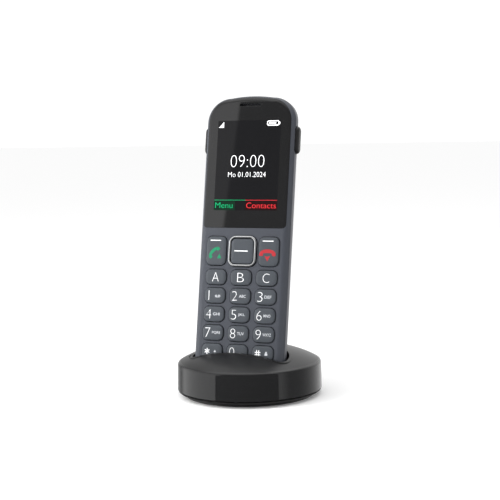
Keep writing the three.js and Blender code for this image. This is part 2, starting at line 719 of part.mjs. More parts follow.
/** One AAA cell with its button end at the top or at the bottom. */
function cell(x, buttonUp) {
  const profile = [
    [0, 0], [CELL_RADIUS - CELL_EDGE, 0], [CELL_RADIUS, CELL_EDGE],
    [CELL_RADIUS, CELL_LENGTH - CELL_EDGE], [CELL_RADIUS - CELL_EDGE, CELL_LENGTH],
    [CELL_NIPPLE_RADIUS, CELL_LENGTH],
    [CELL_NIPPLE_RADIUS, CELL_LENGTH + CELL_NIPPLE_LENGTH], [0, CELL_LENGTH + CELL_NIPPLE_LENGTH],
  ];
  const upright = turned(profile, SMALL_SEGMENTS);
  const start = BAY_BOTTOM + CONTACT_ROOM;
  if (buttonUp) {
    return upright.translate([x, CELL_DEPTH, start]);
  }
  const flipped = upright.rotate([180, 0, 0]);
  return flipped.translate([x, CELL_DEPTH, start + CELL_LENGTH + CELL_NIPPLE_LENGTH]);
}

/** A battery contact: a plate on the bay wall with a blunt spring or dimple towards each cell. */
function cellContact(xs, atTop) {
  const half = CELL_RADIUS - 1;
  const x0 = Math.min(...xs) - half;
  const x1 = Math.max(...xs) + half;
  const reach = CONTACT_ROOM - GAP;
  const wall = atTop ? BAY_TOP - GAP : BAY_BOTTOM + GAP;
  const away = atTop ? -1 : 1;
  const face = wall + away * CONTACT_PLATE;
  let body = box(
    x0, x1, CELL_DEPTH - half, CELL_DEPTH + half, Math.min(wall, face), Math.max(wall, face),
  );
  for (const x of xs) {
    const end = wall + away * (reach - GAP);
    const cone = new THREE.CylinderGeometry(
      CONTACT_TIP, CONTACT_BASE, Math.abs(end - wall), SMALL_SEGMENTS,
    );
    cone.rotateX(away * Math.PI / 2);
    cone.translate(x, CELL_DEPTH, (wall + end) / 2);
    body = body.add(solid(cone));
  }
  return body;
}

/** A pan-head screw along y, head at the back. */
function shellScrew(x) {
  const z = SHELL_SCREW_HEIGHT;
  const under = SHELL_SCREW_SEAT + GAP;
  const top = under + SCREW_HEAD_HEIGHT;
  const head = rodAlongY(x, z, SCREW_HEAD_RADIUS, under, top);
  const shank = rodAlongY(x, z, SCREW_SHANK_RADIUS, FACE_WALL + 2 * GAP, top - SCREW_CROSS_DEPTH);
  const long = SCREW_CROSS_HALF;
  const half = SCREW_CROSS_WIDTH / 2;
  const floor = top - SCREW_CROSS_DEPTH;
  const cross = box(x - long, x + long, floor, top + 1, z - half, z + half);
  const across = box(x - half, x + half, floor, top + 1, z - long, z + long);
  return head.add(shank).subtract(cross).subtract(across);
}

/** A charging contact in the bottom end, with a tail that reaches the board. */
function chargePad(x) {
  const half = CHARGE_PAD_SIZE / 2;
  const wide = CHARGE_TAIL_WIDTH / 2;
  const low = HANDSET_BOTTOM + CHARGE_PAD_SINK;
  const edge = CHARGE_PAD_DEPTH - half;
  const inside = HANDSET_BOTTOM + SHELL_WALL + GAP;
  const foot = box(
    x - half, x + half, edge, CHARGE_PAD_DEPTH + half, low, low + CHARGE_PAD_THICKNESS,
  );
  const riser = box(
    x - wide, x + wide, edge, edge + CHARGE_TAIL_THICKNESS,
    low + GAP, inside + CHARGE_TAIL_THICKNESS,
  );
  const tail = box(
    x - wide, x + wide, BAY_FLOOR, edge + CHARGE_TAIL_THICKNESS,
    inside, inside + CHARGE_TAIL_THICKNESS,
  );
  return foot.add(riser).add(tail);
}

/** Bent antenna strip over the top of the board, with one leg down to it. */
function antenna() {
  const z = HANDSET_TOP - SHELL_WALL - ANTENNA_DROP;
  const half = ANTENNA_WIDTH / 2;
  const strip = ANTENNA_STRIP;
  const front = BAY_FLOOR + ANTENNA_RISE;
  const back = front + strip;
  const bar = box(-half, half, front, back, z - strip, z);
  const leg = box(-half, strip - half, BAY_FLOOR, back, z - strip, z);
  const tail = box(half - strip, half, front, back, z - ANTENNA_TAIL, z);
  return bar.add(leg).add(tail);
}

/** A side key: a long pill that stands out of the shell, with a foot inside it. */
function sideKey(side) {
  const inside = HANDSET_HALF_WIDTH - SIDE_KEY_FOOT;
  const outside = HANDSET_HALF_WIDTH + SIDE_KEY_PROUD;
  return sideKeyBar(side, 0, inside, outside, SIDE_KEY_EDGE);
}

const handset = new THREE.Group();
handset.position.set(0, FACE_OFFSET, 0);
handset.rotation.x = -LEAN;

handset.add(piece('front_shell', frontShell(), FINISH.faceShell));
handset.add(piece('rear_shell', rearShell(), FINISH.backShell));
handset.add(piece('battery_cover', batteryCover(), FINISH.backShell));
handset.add(piece('display_window', displayWindow(), FINISH.window));
handset.add(piece('display_module', displayModule(), FINISH.display));
handset.add(piece('keypad_mat', keypadMat(), FINISH.mat));
handset.add(piece('circuit_board', circuitBoard(), FINISH.board));
for (const key of KEYS) {
  handset.add(piece(key.name, frontKey(key), FINISH.key));
}
handset.add(piece('nav_ring', navRing(), FINISH.chrome));
handset.add(piece('nav_centre', navCentre(), FINISH.key));
handset.add(piece('volume_rocker', sideKey(1), FINISH.sideKey));
handset.add(piece('side_button', sideKey(-1), FINISH.sideKey));

handset.add(piece(
  'earpiece_speaker',
  intoDepth(
    roundedRect(
      EARPIECE_WIDTH, EARPIECE_LENGTH, EARPIECE_CORNER,
      0, EARPIECE_HEIGHT - EARPIECE_SLOT_HEIGHT / 2,
    ),
    FACE_WALL + GAP, BOARD_DEPTH - GAP,
  ),
  FINISH.speaker,
));
handset.add(piece(
  'microphone',
  rodAlongY(0, MIC_HEIGHT + MIC_RISE, MIC_RADIUS, FACE_WALL + GAP, BOARD_DEPTH - GAP),
  FINISH.tin,
));
handset.add(piece(
  'ringer_speaker',
  rodAlongY(
    0, RINGER_HEIGHT, RINGER_RADIUS,
    HANDSET_DEPTH - RINGER_SINK - RINGER_THICKNESS, HANDSET_DEPTH - RINGER_SINK,
    2 * SMALL_SEGMENTS,
  ),
  FINISH.speaker,
));
handset.add(piece(
  'radio_shield',
  box(
    -SHIELD_WIDTH / 2, SHIELD_WIDTH / 2, BAY_FLOOR, BAY_FLOOR + SHIELD_THICKNESS,
    RINGER_HEIGHT + SHIELD_RISE - SHIELD_LENGTH / 2, RINGER_HEIGHT + SHIELD_RISE + SHIELD_LENGTH / 2,
  ),
  FINISH.tin,
));
handset.add(piece('antenna', antenna(), FINISH.gold));
handset.add(piece('battery_cell_left', cell(-CELL_PITCH / 2, true), FINISH.cell));
handset.add(piece('battery_cell_right', cell(CELL_PITCH / 2, false), FINISH.cell));
handset.add(piece(
  'battery_bridge', cellContact([-CELL_PITCH / 2, CELL_PITCH / 2], true), FINISH.tin,
));
handset.add(piece('battery_contact_left', cellContact([-CELL_PITCH / 2], false), FINISH.tin));
handset.add(piece('battery_contact_right', cellContact([CELL_PITCH / 2], false), FINISH.tin));
handset.add(piece('charge_pad_left', chargePad(-CHARGE_PAD_OFFSET), FINISH.gold));
handset.add(piece('charge_pad_right', chargePad(CHARGE_PAD_OFFSET), FINISH.gold));
handset.add(piece('shell_screw_left', shellScrew(-SHELL_SCREW_OFFSET), FINISH.steel));
handset.add(piece('shell_screw_right', shellScrew(SHELL_SCREW_OFFSET), FINISH.steel));

// ---------------------------------------------------------------- cradle pieces

const CRADLE_TOP_RADIUS = CRADLE_RADIUS - CRADLE_DRAFT;
const DOME_EDGE = CRADLE_TOP_RADIUS - RIM_ROUND;

/** Height of the dome at a radius: shallow in the middle and steeper to the rim. */
function domeHeight(r) {
  const t = r / DOME_EDGE;
  return CRADLE_HEIGHT - (CRADLE_HEIGHT - RIM_HEIGHT) * (0.7 * t ** 2 + 0.3 * t ** 4);
}

/** The cover's surface as a profile, drawn in by `inset` and down by `roof`. */
function coverProfile(inset, roof, bottom, rings = 9, steps = 4) {
  const points = [[0, bottom], [CRADLE_RADIUS - inset, bottom]];
  for (let i = 0; i <= steps; i += 1) {
    const turn = (i / steps) * Math.PI / 2;
    const r = DOME_EDGE - inset + RIM_ROUND * Math.cos(turn);
    const z = RIM_HEIGHT - roof - RIM_ROUND * (1 - Math.sin(turn));
    points.push([r, z]);
  }
  for (let i = rings - 1; i >= 0; i -= 1) {
    const r = (DOME_EDGE - inset) * (i / rings);
    points.push([r, domeHeight(r) - roof]);
  }
  return points;
}

/** Takes a solid from the handset's frame to the table's. */
function leaned(body) {
  return body.rotate([THREE.MathUtils.radToDeg(-LEAN), 0, 0]).translate([0, FACE_OFFSET, 0]);
}

/** The handset's section with the pocket's clearances, run from `bottom` up out of the cradle. */
function pocketForm(wall, bottom) {
  const section = handsetSection(
    SLOT_SIDE_GAP + wall, SLOT_FRONT_GAP + wall, SLOT_BACK_GAP + wall,
    FACE_EDGE_ROUND + SLOT_SIDE_GAP + wall,
  );
  return leaned(alongHandset(section, bottom, 2 * CRADLE_RADIUS));
}

const BOSS_BOTTOM = BASE_PLATE_TOP + GAP;

/** The screw places round the cradle. */
const SCREW_PLACES = SCREW_ANGLES.map((degrees) => {
  const angle = THREE.MathUtils.degToRad(degrees);
  return [SCREW_CIRCLE * Math.cos(angle), SCREW_CIRCLE * Math.sin(angle)];
});

/** Room for the inlet in the cover's wall and over the base plate. */
function inletRoom(grow) {
  const half = INLET_WIDTH / 2 + grow;
  return box(
    -half, half, INLET_FRONT - grow, CRADLE_RADIUS + THROUGH,
    0, INLET_BOTTOM + INLET_HEIGHT + grow,
  );
}

function cradleCover() {
  const outer = turned(coverProfile(0, 0, WALL_BOTTOM));
  const inner = turned(coverProfile(COVER_WALL, COVER_ROOF, WALL_BOTTOM - THROUGH, 3, 1), 48);
  // The screw posts reach below the wall, down to the base plate.
  const postLimit = turned(coverProfile(1, 1, BOSS_BOTTOM, 3, 1), 48);
  let cover = outer.subtract(inner);
  cover = cover.add(pocketForm(POCKET_WALL, POCKET_FLOOR - POCKET_WALL).intersect(outer));
  for (const [x, y] of SCREW_PLACES) {
    cover = cover.add(rod(x, y, BOSS_RADIUS, BOSS_BOTTOM, CRADLE_HEIGHT).intersect(postLimit));
  }
  cover = cover.subtract(pocketForm(0, POCKET_FLOOR));
  for (const [x, y] of SCREW_PLACES) {
    cover = cover.subtract(rod(x, y, SCREW_SHANK_RADIUS + GAP, 0, SCREW_TIP + 1));
  }
  for (const x of [-CHARGE_PAD_OFFSET, CHARGE_PAD_OFFSET]) {
    cover = cover.subtract(leaned(rod(x, CHARGE_PAD_DEPTH, PIN_RADIUS + GAP, 0, CRADLE_HEIGHT)));
  }
  return cover.subtract(inletRoom(GAP));
}

function cradleBase() {
  const seat = CRADLE_RADIUS - COVER_WALL - GAP;
  const lip = seat - COVER_LIP;
  const seam = WALL_BOTTOM - GAP;
  const profile = [
    [0, BASE_PLATE_BOTTOM],
    [FOOT_RING_INNER - 1, BASE_PLATE_BOTTOM],
    [FOOT_RING_INNER - 1, PLINTH_BOTTOM],
    [PLINTH_RADIUS - FOOT_STEP, PLINTH_BOTTOM],
    [PLINTH_RADIUS, PLINTH_BOTTOM + FOOT_STEP],
    [PLINTH_RADIUS, PLINTH_BOTTOM + 2.75 * FOOT_STEP],
    [CRADLE_RADIUS - 3 * FOOT_STEP, seam - 2.25 * FOOT_STEP],
    [CRADLE_RADIUS - GAP, seam],
    [seat, seam],
    [seat, WALL_BOTTOM + COVER_LIP_HEIGHT],
    [lip, WALL_BOTTOM + COVER_LIP_HEIGHT],
    [lip, BASE_PLATE_TOP],
    [0, BASE_PLATE_TOP],
  ];
  let base = turned(profile);
  const groove = ring(
    FOOT_RING_INNER - GAP, FOOT_RING_OUTER + GAP, -1, FOOT_RING_HEIGHT + GAP,
  );
  base = base.subtract(groove);
  for (const [x, y] of SCREW_PLACES) {
    base = base.subtract(rod(x, y, SCREW_SHANK_RADIUS + GAP, -1, BASE_PLATE_TOP + 1));
    base = base.subtract(rod(x, y, SCREW_HEAD_RADIUS + GAP, -1, SCREW_SEAT));
    base = base.subtract(rod(x, y, BOSS_RADIUS + GAP, BASE_PLATE_TOP, CRADLE_HEIGHT));
  }
  for (const side of [-1, 1]) {
    const post = rod(
      side * (CHARGE_BOARD_HALF - CHARGE_POST_INSET), CHARGE_BOARD_FRONT + CHARGE_POST_BACK,
      CHARGE_POST_RADIUS, BASE_PLATE_TOP - GAP, CHARGE_BOARD_BOTTOM - GAP,
    );
    base = base.add(post);
  }
  const half = INLET_WIDTH / 2 + GAP;
  return base.subtract(box(
    -half, half, CRADLE_RADIUS - 8, CRADLE_RADIUS + THROUGH, BASE_PLATE_TOP, CRADLE_HEIGHT,
  ));
}

/** A screw from below, with its head sunk in the plate and a cross in the head. */
function cradleScrew(x, y) {
  const low = PLINTH_BOTTOM + GAP;
  const seat = SCREW_SEAT - GAP / 3;
  const head = rod(x, y, SCREW_HEAD_RADIUS, low, seat);
  const shank = rod(x, y, SCREW_SHANK_RADIUS, low + SCREW_CROSS_DEPTH, SCREW_TIP);
  const long = SCREW_CROSS_HALF;
  const half = SCREW_CROSS_WIDTH / 2;
  const deep = low + SCREW_CROSS_DEPTH;
  const slots = box(x - long, x + long, y - half, y + half, low - 1, deep)
    .add(box(x - half, x + half, y - long, y + long, low - 1, deep));
  return head.add(shank).subtract(slots);
}

/** A crescent of steel in the front of the cradle that keeps it from tipping. */
function ballast() {
  const low = BASE_PLATE_TOP + GAP;
  const radius = CRADLE_RADIUS - COVER_WALL - BALLAST_GAP;
  const disc = rod(0, 0, radius, low, low + BALLAST_HEIGHT, ROUND_SEGMENTS);
  const reach = CRADLE_RADIUS;
  const front = box(-reach, reach, -reach, BALLAST_BACK, 0, CRADLE_HEIGHT);
  let weight = disc.intersect(front);
  for (const [x, y] of SCREW_PLACES) {
    weight = weight.subtract(rod(x, y, BOSS_RADIUS + 2 * GAP, 0, CRADLE_HEIGHT));
  }
  return weight;
}

/** A square socket for a flat plug, open to the back. */
function powerInlet() {
  const half = INLET_WIDTH / 2;
  const top = INLET_BOTTOM + INLET_HEIGHT;
  const body = box(-half, half, INLET_FRONT, INLET_BACK, INLET_BOTTOM, top);
  const mouth = box(
    -half + INLET_WALL, half - INLET_WALL, INLET_FRONT + INLET_WALL, INLET_BACK + THROUGH,
    INLET_BOTTOM + INLET_WALL, top - INLET_WALL,
  );
  return body.subtract(mouth);
}

/** Board whose two arms hold the inlet and which feeds the charging pins. */
function chargeBoard() {
  const blank = box(
    -CHARGE_BOARD_HALF, CHARGE_BOARD_HALF, CHARGE_BOARD_FRONT, CHARGE_BOARD_BACK,
    CHARGE_BOARD_BOTTOM, CHARGE_BOARD_BOTTOM + BOARD_THICKNESS,
  );
  return blank.subtract(inletRoom(GAP));
}

/** Block under the pocket floor in which the two charging pins slide. */
function pinHolder() {
  const top = POCKET_FLOOR - POCKET_WALL - GAP;
  const half = CHARGE_PAD_OFFSET + PIN_HOLDER_MARGIN;
  const deep = PIN_HOLDER_HALF_DEPTH;
  let block = box(
    -half, half, CHARGE_PAD_DEPTH - deep, CHARGE_PAD_DEPTH + deep, top - PIN_HOLDER_HEIGHT, top,
  );
  for (const x of [-CHARGE_PAD_OFFSET, CHARGE_PAD_OFFSET]) {
    block = block.subtract(rod(x, CHARGE_PAD_DEPTH, PIN_RADIUS + PIN_GAP, 0, CRADLE_HEIGHT));
  }
  return block;
}

/** A round-nosed charging pin that stands up through the pocket floor. */
function chargePin(x) {
  const top = HANDSET_BOTTOM + CHARGE_PAD_SINK - GAP;
  const holder = POCKET_FLOOR - POCKET_WALL - GAP - PIN_HOLDER_HEIGHT;
  const low = holder + PIN_OVERTRAVEL + PIN_GAP;
  const profile = [
    [0, low], [PIN_RADIUS, low], [PIN_RADIUS, top - 0.5], [PIN_RADIUS - 0.3, top - 0.12],
    [0, top],
  ];
  return turned(profile, SMALL_SEGMENTS).translate([x, CHARGE_PAD_DEPTH, 0]);
}

const cradle = new THREE.Group();
cradle.add(piece('cradle_cover', cradleCover(), FINISH.cradle));
cradle.add(piece('cradle_base', cradleBase(), FINISH.cradleBase));
cradle.add(piece(
  'foot_ring', ring(FOOT_RING_INNER, FOOT_RING_OUTER, 0, FOOT_RING_HEIGHT), FINISH.rubber,
));
cradle.add(piece('ballast_weight', ballast(), FINISH.steel));
cradle.add(piece('charge_board', chargeBoard(), FINISH.board));
cradle.add(piece('power_inlet', powerInlet(), FINISH.socket));
SCREW_PLACES.forEach(([x, y], i) => {
  cradle.add(piece(`cradle_screw_${i + 1}`, cradleScrew(x, y), FINISH.steel));
});

const pins = new THREE.Group();
pins.position.copy(handset.position);
pins.rotation.copy(handset.rotation);
pins.add(piece('pin_holder', pinHolder(), FINISH.socket));
pins.add(piece('charge_pin_left', chargePin(-CHARGE_PAD_OFFSET), FINISH.gold));
pins.add(piece('charge_pin_right', chargePin(CHARGE_PAD_OFFSET), FINISH.gold));

const phone = new THREE.Group();
phone.add(cradle, pins, handset);

export default phone;
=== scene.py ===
"""Looks of a cordless phone handset standing in its round charging cradle.

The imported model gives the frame: every size and place that other pieces depend on is read
from its nodes. The handset is drawn in its own axes, in millimetres: x across the face,
y into the body and z along it. The cradle is drawn upright, in millimetres, about the table's origin.
"""
import json
import logging
import math
from dataclasses import dataclass, field
from enum import Enum
from typing import Callable, Iterable, Sequence

import bmesh
import bpy
from mathutils import Matrix, Vector


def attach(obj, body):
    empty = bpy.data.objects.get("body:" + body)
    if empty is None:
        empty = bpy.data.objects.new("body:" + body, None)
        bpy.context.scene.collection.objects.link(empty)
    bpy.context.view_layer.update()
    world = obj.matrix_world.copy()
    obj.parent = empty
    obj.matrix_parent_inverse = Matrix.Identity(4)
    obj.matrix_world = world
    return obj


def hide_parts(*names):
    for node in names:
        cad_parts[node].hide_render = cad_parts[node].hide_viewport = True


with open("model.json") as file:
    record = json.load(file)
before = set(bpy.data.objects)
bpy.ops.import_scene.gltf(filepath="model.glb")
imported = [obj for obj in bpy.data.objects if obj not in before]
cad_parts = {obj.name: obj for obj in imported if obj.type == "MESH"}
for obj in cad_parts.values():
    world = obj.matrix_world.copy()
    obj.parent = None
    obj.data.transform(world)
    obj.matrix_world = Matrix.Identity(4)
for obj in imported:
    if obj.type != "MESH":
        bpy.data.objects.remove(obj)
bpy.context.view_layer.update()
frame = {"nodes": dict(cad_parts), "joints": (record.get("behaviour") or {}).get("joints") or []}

LOG = logging.getLogger("cordless_phone")
MM = 0.001
FAR = 60.0  # mm, past every side of the cradle
OUTSIDE = -5.0  # mm, depth in front of the face where a cutter starts
THROUGH = 6.0  # mm, depth where a cutter through the face ends
BEHIND = 9.0  # mm, how far a cutter runs past the handset's back
FIT = 0.3  # mm, room round a piece in its hollow
BORE = 1.45  # mm, radius of a screw's hole
POST = 3.0  # mm, radius of the post that a screw goes into
MARK_THICKNESS = 0.03  # mm, of a printed or lit mark
WELD = 1e-4  # mm, points closer than this are merged
SAME = 1e-5  # mm, places closer than this are level
SIDES = ("left", "right")
BASE_SCREWS = (1, 2, 3)
Outline = list[Vector]
Solid = bmesh.types.BMesh


class Cut(Enum):
    """How one solid acts on another."""

    JOIN = "UNION"
    REMOVE = "DIFFERENCE"
    KEEP_COMMON = "INTERSECT"


class Axis(Enum):
    """The way a bar points: the turn in degrees from upright, and what it turns about."""

    X = (90, "Y")
    Y = (-90, "X")
    Z = (0, "Z")


# ---- frames of reference


class Frames:
    """The two sets of axes that pieces are drawn in, and the nodes' boxes in them."""

    def __init__(self) -> None:
        """Works out the handset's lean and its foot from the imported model."""
        lift = next(j for j in frame["joints"] if j["name"] == "handset_lift")
        self.lean = math.atan2(lift["axis"][1], lift["axis"][2])
        slope = math.tan(self.lean)
        window = frame["nodes"]["display_window"].data.vertices
        self.foot = min(v.co.y - v.co.z * slope for v in window)
        self.table = Matrix.Scale(MM, 4)
        self.handset = (
            Matrix.Translation((0, self.foot, 0))
            @ Matrix.Rotation(-self.lean, 4, "X")
            @ Matrix.Scale(MM, 4)
        )

    def box(self, node: str, axes: Matrix | None = None) -> tuple[Vector, Vector]:
        """Lowest and highest corner of a node in the handset's axes, or in others.

        Args:
            node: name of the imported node.
            axes: matrix from the wanted axes to the row's; the handset's when left out.

        Returns:
            The two corners in millimetres.
        """
        inverse = (axes or self.handset).inverted()
        points = [inverse @ v.co for v in frame["nodes"][node].data.vertices]
        low = Vector(min(p[i] for p in points) for i in range(3))
        high = Vector(max(p[i] for p in points) for i in range(3))
        return low, high


FRAMES = Frames()


# ---- outlines and solids


def arc(centre: Sequence[float], radius: float, start: float, end: float, steps: int) -> Outline:
    """Points along an arc, both ends included.

    Args:
        centre: middle of the arc.
        radius: its radius.
        start: first angle in degrees.
        end: last angle in degrees.
        steps: number of stretches.

    Returns:
        The points in order.
    """
    points = []
    for i in range(steps + 1):
        turn = math.radians(start + (end - start) * i / steps)
        points.append(Vector((centre[0] + radius * math.cos(turn), centre[1] + radius * math.sin(turn))))
    return points


def rounded_rect(
    width: float, height: float, corner: float, centre: Sequence[float] = (0, 0), steps: int = 8
) -> Outline:
    """A rectangle with round corners, anticlockwise from its lower right corner.

    Args:
        width: its size across.
        height: its size along.
        corner: radius of its corners.
        centre: its middle.
        steps: stretches in each corner.

    Returns:
        The points in order.
    """
    a, b = width / 2, height / 2
    least_flat = 0.01
    r = min(corner, a - least_flat, b - least_flat)
    cx, cz = centre
    points: Outline = []
    for sx, sz, start in ((1, -1, -90), (1, 1, 0), (-1, 1, 90), (-1, -1, 180)):
        middle = (cx + sx * (a - r), cz + sz * (b - r))
        points += arc(middle, r, start, start + 90, steps)
    return points


def at_depth(outline: Iterable[Vector], depth: float) -> list[Vector]:
    """An outline drawn across and along the handset, placed at a depth."""
    return [Vector((p.x, depth, p.y)) for p in outline]


def add_ring(bm: Solid, points: Sequence[Vector]) -> list[bmesh.types.BMEdge]:
    """A closed ring of edges through the points."""
    verts = [bm.verts.new(p) for p in points]
    return [bm.edges.new(pair) for pair in zip(verts, verts[1:] + verts[:1])]


def loft(rings: Sequence[Sequence[Vector]]) -> Solid:
    """Bridges rings of points into a skin and fills its two ends.

    Args:
        rings: rings with the same number of points.

    Returns:
        A closed bmesh whose faces point outwards.
    """
    bm = bmesh.new()
    edges = [add_ring(bm, ring) for ring in rings]
    for near, far in zip(edges, edges[1:]):
        bmesh.ops.bridge_loops(bm, edges=near + far)
    for end in (edges[0], edges[-1]):
        bmesh.ops.edgeloop_fill(bm, edges=end)
    bmesh.ops.recalc_face_normals(bm, faces=bm.faces)
    return bm


def soften(bm: Solid, edges: Sequence[bmesh.types.BMEdge], size: float, steps: int, clamp: bool) -> None:
    """Rounds edges.

    Args:
        bm: the bmesh.
        edges: its edges to round.
        size: how far each rounding reaches.
        steps: stretches in each rounding.
        clamp: whether roundings that meet are held back.
    """
    bmesh.ops.bevel(
        bm, geom=edges, offset=size, offset_type="OFFSET", segments=steps, profile=0.5,
        affect="EDGES", material=-1, clamp_overlap=clamp,
    )


def turn_about(bm: Solid, degrees: float, axis: str) -> None:
    """Turns a whole bmesh about one of its axes."""
    turn = Matrix.Rotation(math.radians(degrees), 3, axis)
    bmesh.ops.rotate(bm, cent=(0, 0, 0), matrix=turn, verts=bm.verts)


def plate(outline: Outline, front: float, back: float, edge: float = 0.0) -> Solid:
    """A plate with its front edge rounded.

    Args:
        outline: its outline across and along the handset.
        front: depth of the front face.
        back: depth of the back face.
        edge: rounding of the front edge.

    Returns:
        The closed bmesh.
    """
    bm = bmesh.new()
    base = bm.faces.new([bm.verts.new(p) for p in at_depth(outline, back)])
    grown = bmesh.ops.extrude_face_region(bm, geom=[base])["geom"]
    top = [g for g in grown if isinstance(g, bmesh.types.BMVert)]
    bmesh.ops.translate(bm, verts=top, vec=(0, front - back, 0))
    if edge > 0:
        rim = [e for e in bm.edges if all(abs(v.co.y - front) < SAME for v in e.verts)]
        soften(bm, rim, edge, 4, False)
    bmesh.ops.recalc_face_normals(bm, faces=bm.faces)
    return bm


def flared_cutter(
    outline_at: Callable[[float], Outline], surface: float, end: float, flare: float
) -> Solid:
    """A cutter that leaves a rounded edge where it enters a face.

    Args:
        outline_at: gives the outline grown by a distance.
        surface: depth of the face that it enters.
        end: depth that it reaches.
        flare: radius of the rounding that it leaves.

    Returns:
        The closed bmesh.
    """
    steps, rise = 4, 2.0
    rings = [at_depth(outline_at(0.0), end)]
    for i in range(steps + 1):
        turn = math.radians(90 * i / steps)
        grow = flare * (1 - math.cos(turn))
        rings.append(at_depth(outline_at(grow), surface + flare * (1 - math.sin(turn))))
    rings.append(at_depth(outline_at(flare * 1.02), surface - rise))
    return loft(rings)


def turned(profile: Sequence[Sequence[float]], steps: int = 96) -> Solid:
    """Spins a profile about the upright axis.

    Args:
        profile: its points as radius and height.
        steps: stretches round the axis.

    Returns:
        The bmesh, closed where the profile is.
    """
    bm = bmesh.new()
    verts = [bm.verts.new((r, 0, z)) for r, z in profile]
    edges = [bm.edges.new(pair) for pair in zip(verts, verts[1:])]
    bmesh.ops.spin(
        bm, geom=verts + edges, cent=(0, 0, 0), axis=(0, 0, 1), dvec=(0, 0, 0),
        angle=math.tau, steps=steps, use_merge=True,
    )
    bmesh.ops.remove_doubles(bm, verts=bm.verts, dist=WELD)
    bmesh.ops.recalc_face_normals(bm, faces=bm.faces)
    return bm


def block(low: Sequence[float], high: Sequence[float]) -> Solid:
    """A block between its lowest and its highest corner.

    Args:
        low: the lowest corner.
        high: the highest corner.

    Returns:
        The closed bmesh.
    """
    bm = bmesh.new()
    bmesh.ops.create_cube(bm, size=1.0)
    size = Vector(high) - Vector(low)
    bmesh.ops.scale(bm, vec=size, verts=bm.verts)
    bmesh.ops.translate(bm, vec=Vector(low) + size / 2, verts=bm.verts)
    return bm


def rod(
    centre: Sequence[float], radius: float, start: float, end: float,
    axis: Axis = Axis.Z, edge: float = 0.0, sides: int = 32,
) -> Solid:
    """A round bar.

    Args:
        centre: a point on its middle line.
        radius: its radius.
        start: where it starts along the axis, from that point.
        end: where it ends.
        axis: the way it points.
        edge: rounding of its end edges.
        sides: stretches round it.

    Returns:
        The closed bmesh.
    """
    bm = bmesh.new()
    bmesh.ops.create_cone(
        bm, cap_ends=True, segments=sides, radius1=radius, radius2=radius, depth=end - start
    )
    if edge > 0:
        rims = [e for e in bm.edges if abs(e.verts[0].co.z - e.verts[1].co.z) < SAME]
        soften(bm, rims, edge, 3, True)
    bmesh.ops.translate(bm, vec=(0, 0, (start + end) / 2), verts=bm.verts)
    turn_about(bm, *axis.value)
    bmesh.ops.translate(bm, vec=centre, verts=bm.verts)
    return bm


def merged(parts: Sequence[Solid]) -> Solid:
    """Puts several bmeshes into the first one.

    Args:
        parts: the bmeshes; all but the first are freed.

    Returns:
        The first one with the others in it.
    """
    whole = parts[0]
    for part in parts[1:]:
        mesh = bpy.data.meshes.new("part")
        part.to_mesh(mesh)
        part.free()
        whole.from_mesh(mesh)
        bpy.data.meshes.remove(mesh)
    return whole


def as_object(name: str, bm: Solid) -> bpy.types.Object:
    """Turns a bmesh into an object in the scene.

    Args:
        name: the object's name.
        bm: its shape, which is freed.

    Returns:
        The object.
    """
    mesh = bpy.data.meshes.new(name)
    bm.to_mesh(mesh)
    bm.free()
    obj = bpy.data.objects.new(name, mesh)
    bpy.context.scene.collection.objects.link(obj)
    return obj


def baked_mesh(obj: bpy.types.Object) -> bpy.types.Mesh:
    """The object's mesh with its modifiers applied."""
    bpy.context.view_layer.update()
    shown = obj.evaluated_get(bpy.context.evaluated_depsgraph_get())
    return bpy.data.meshes.new_from_object(shown)


def carve(target: Solid, steps: Sequence[tuple[Cut, Solid]]) -> Solid:
    """Joins, cuts or intersects a solid with others, one after another.

    Args:
        target: the solid to work on.
        steps: what to do and with which solid, in order.

    Returns:
        The new bmesh.
    """
    body = as_object("carved", target)
    tools = []
    for how, tool in steps:
        tools.append(as_object("tool", tool))
        modifier = body.modifiers.new(how.name, "BOOLEAN")
        modifier.operation = how.value
        modifier.solver = "EXACT"
        modifier.object = tools[-1]
    mesh = baked_mesh(body)
    result = bmesh.new()
    result.from_mesh(mesh)
    bmesh.ops.remove_doubles(result, verts=result.verts, dist=WELD)
    bmesh.ops.dissolve_degenerate(result, edges=result.edges, dist=WELD)
    bpy.data.meshes.remove(mesh)
    for obj in [body, *tools]:
        bpy.data.meshes.remove(obj.data)
    return result


# ---- shared shader effects


Socket = bpy.types.NodeSocket


def new_group(name: str, inputs: dict[str, float | tuple], outputs: dict[str, str]) -> bpy.types.NodeTree:
    """Starts a shader node group with named sockets.

    Args:
        name: the group's name.
        inputs: each input's name and its default, a number or a colour.
        outputs: each output's name and its socket type.

    Returns:
        The group with its input and output nodes.
    """
    group = bpy.data.node_groups.new(name, "ShaderNodeTree")
    for label, default in inputs.items():
        kind = "NodeSocketColor" if isinstance(default, tuple) else "NodeSocketFloat"
        socket = group.interface.new_socket(label, in_out="INPUT", socket_type=kind)
        socket.default_value = default
    for label, kind in outputs.items():
        group.interface.new_socket(label, in_out="OUTPUT", socket_type=kind)
    group.nodes.new("NodeGroupInput").name = "in"
    group.nodes.new("NodeGroupOutput").name = "out"
    return group


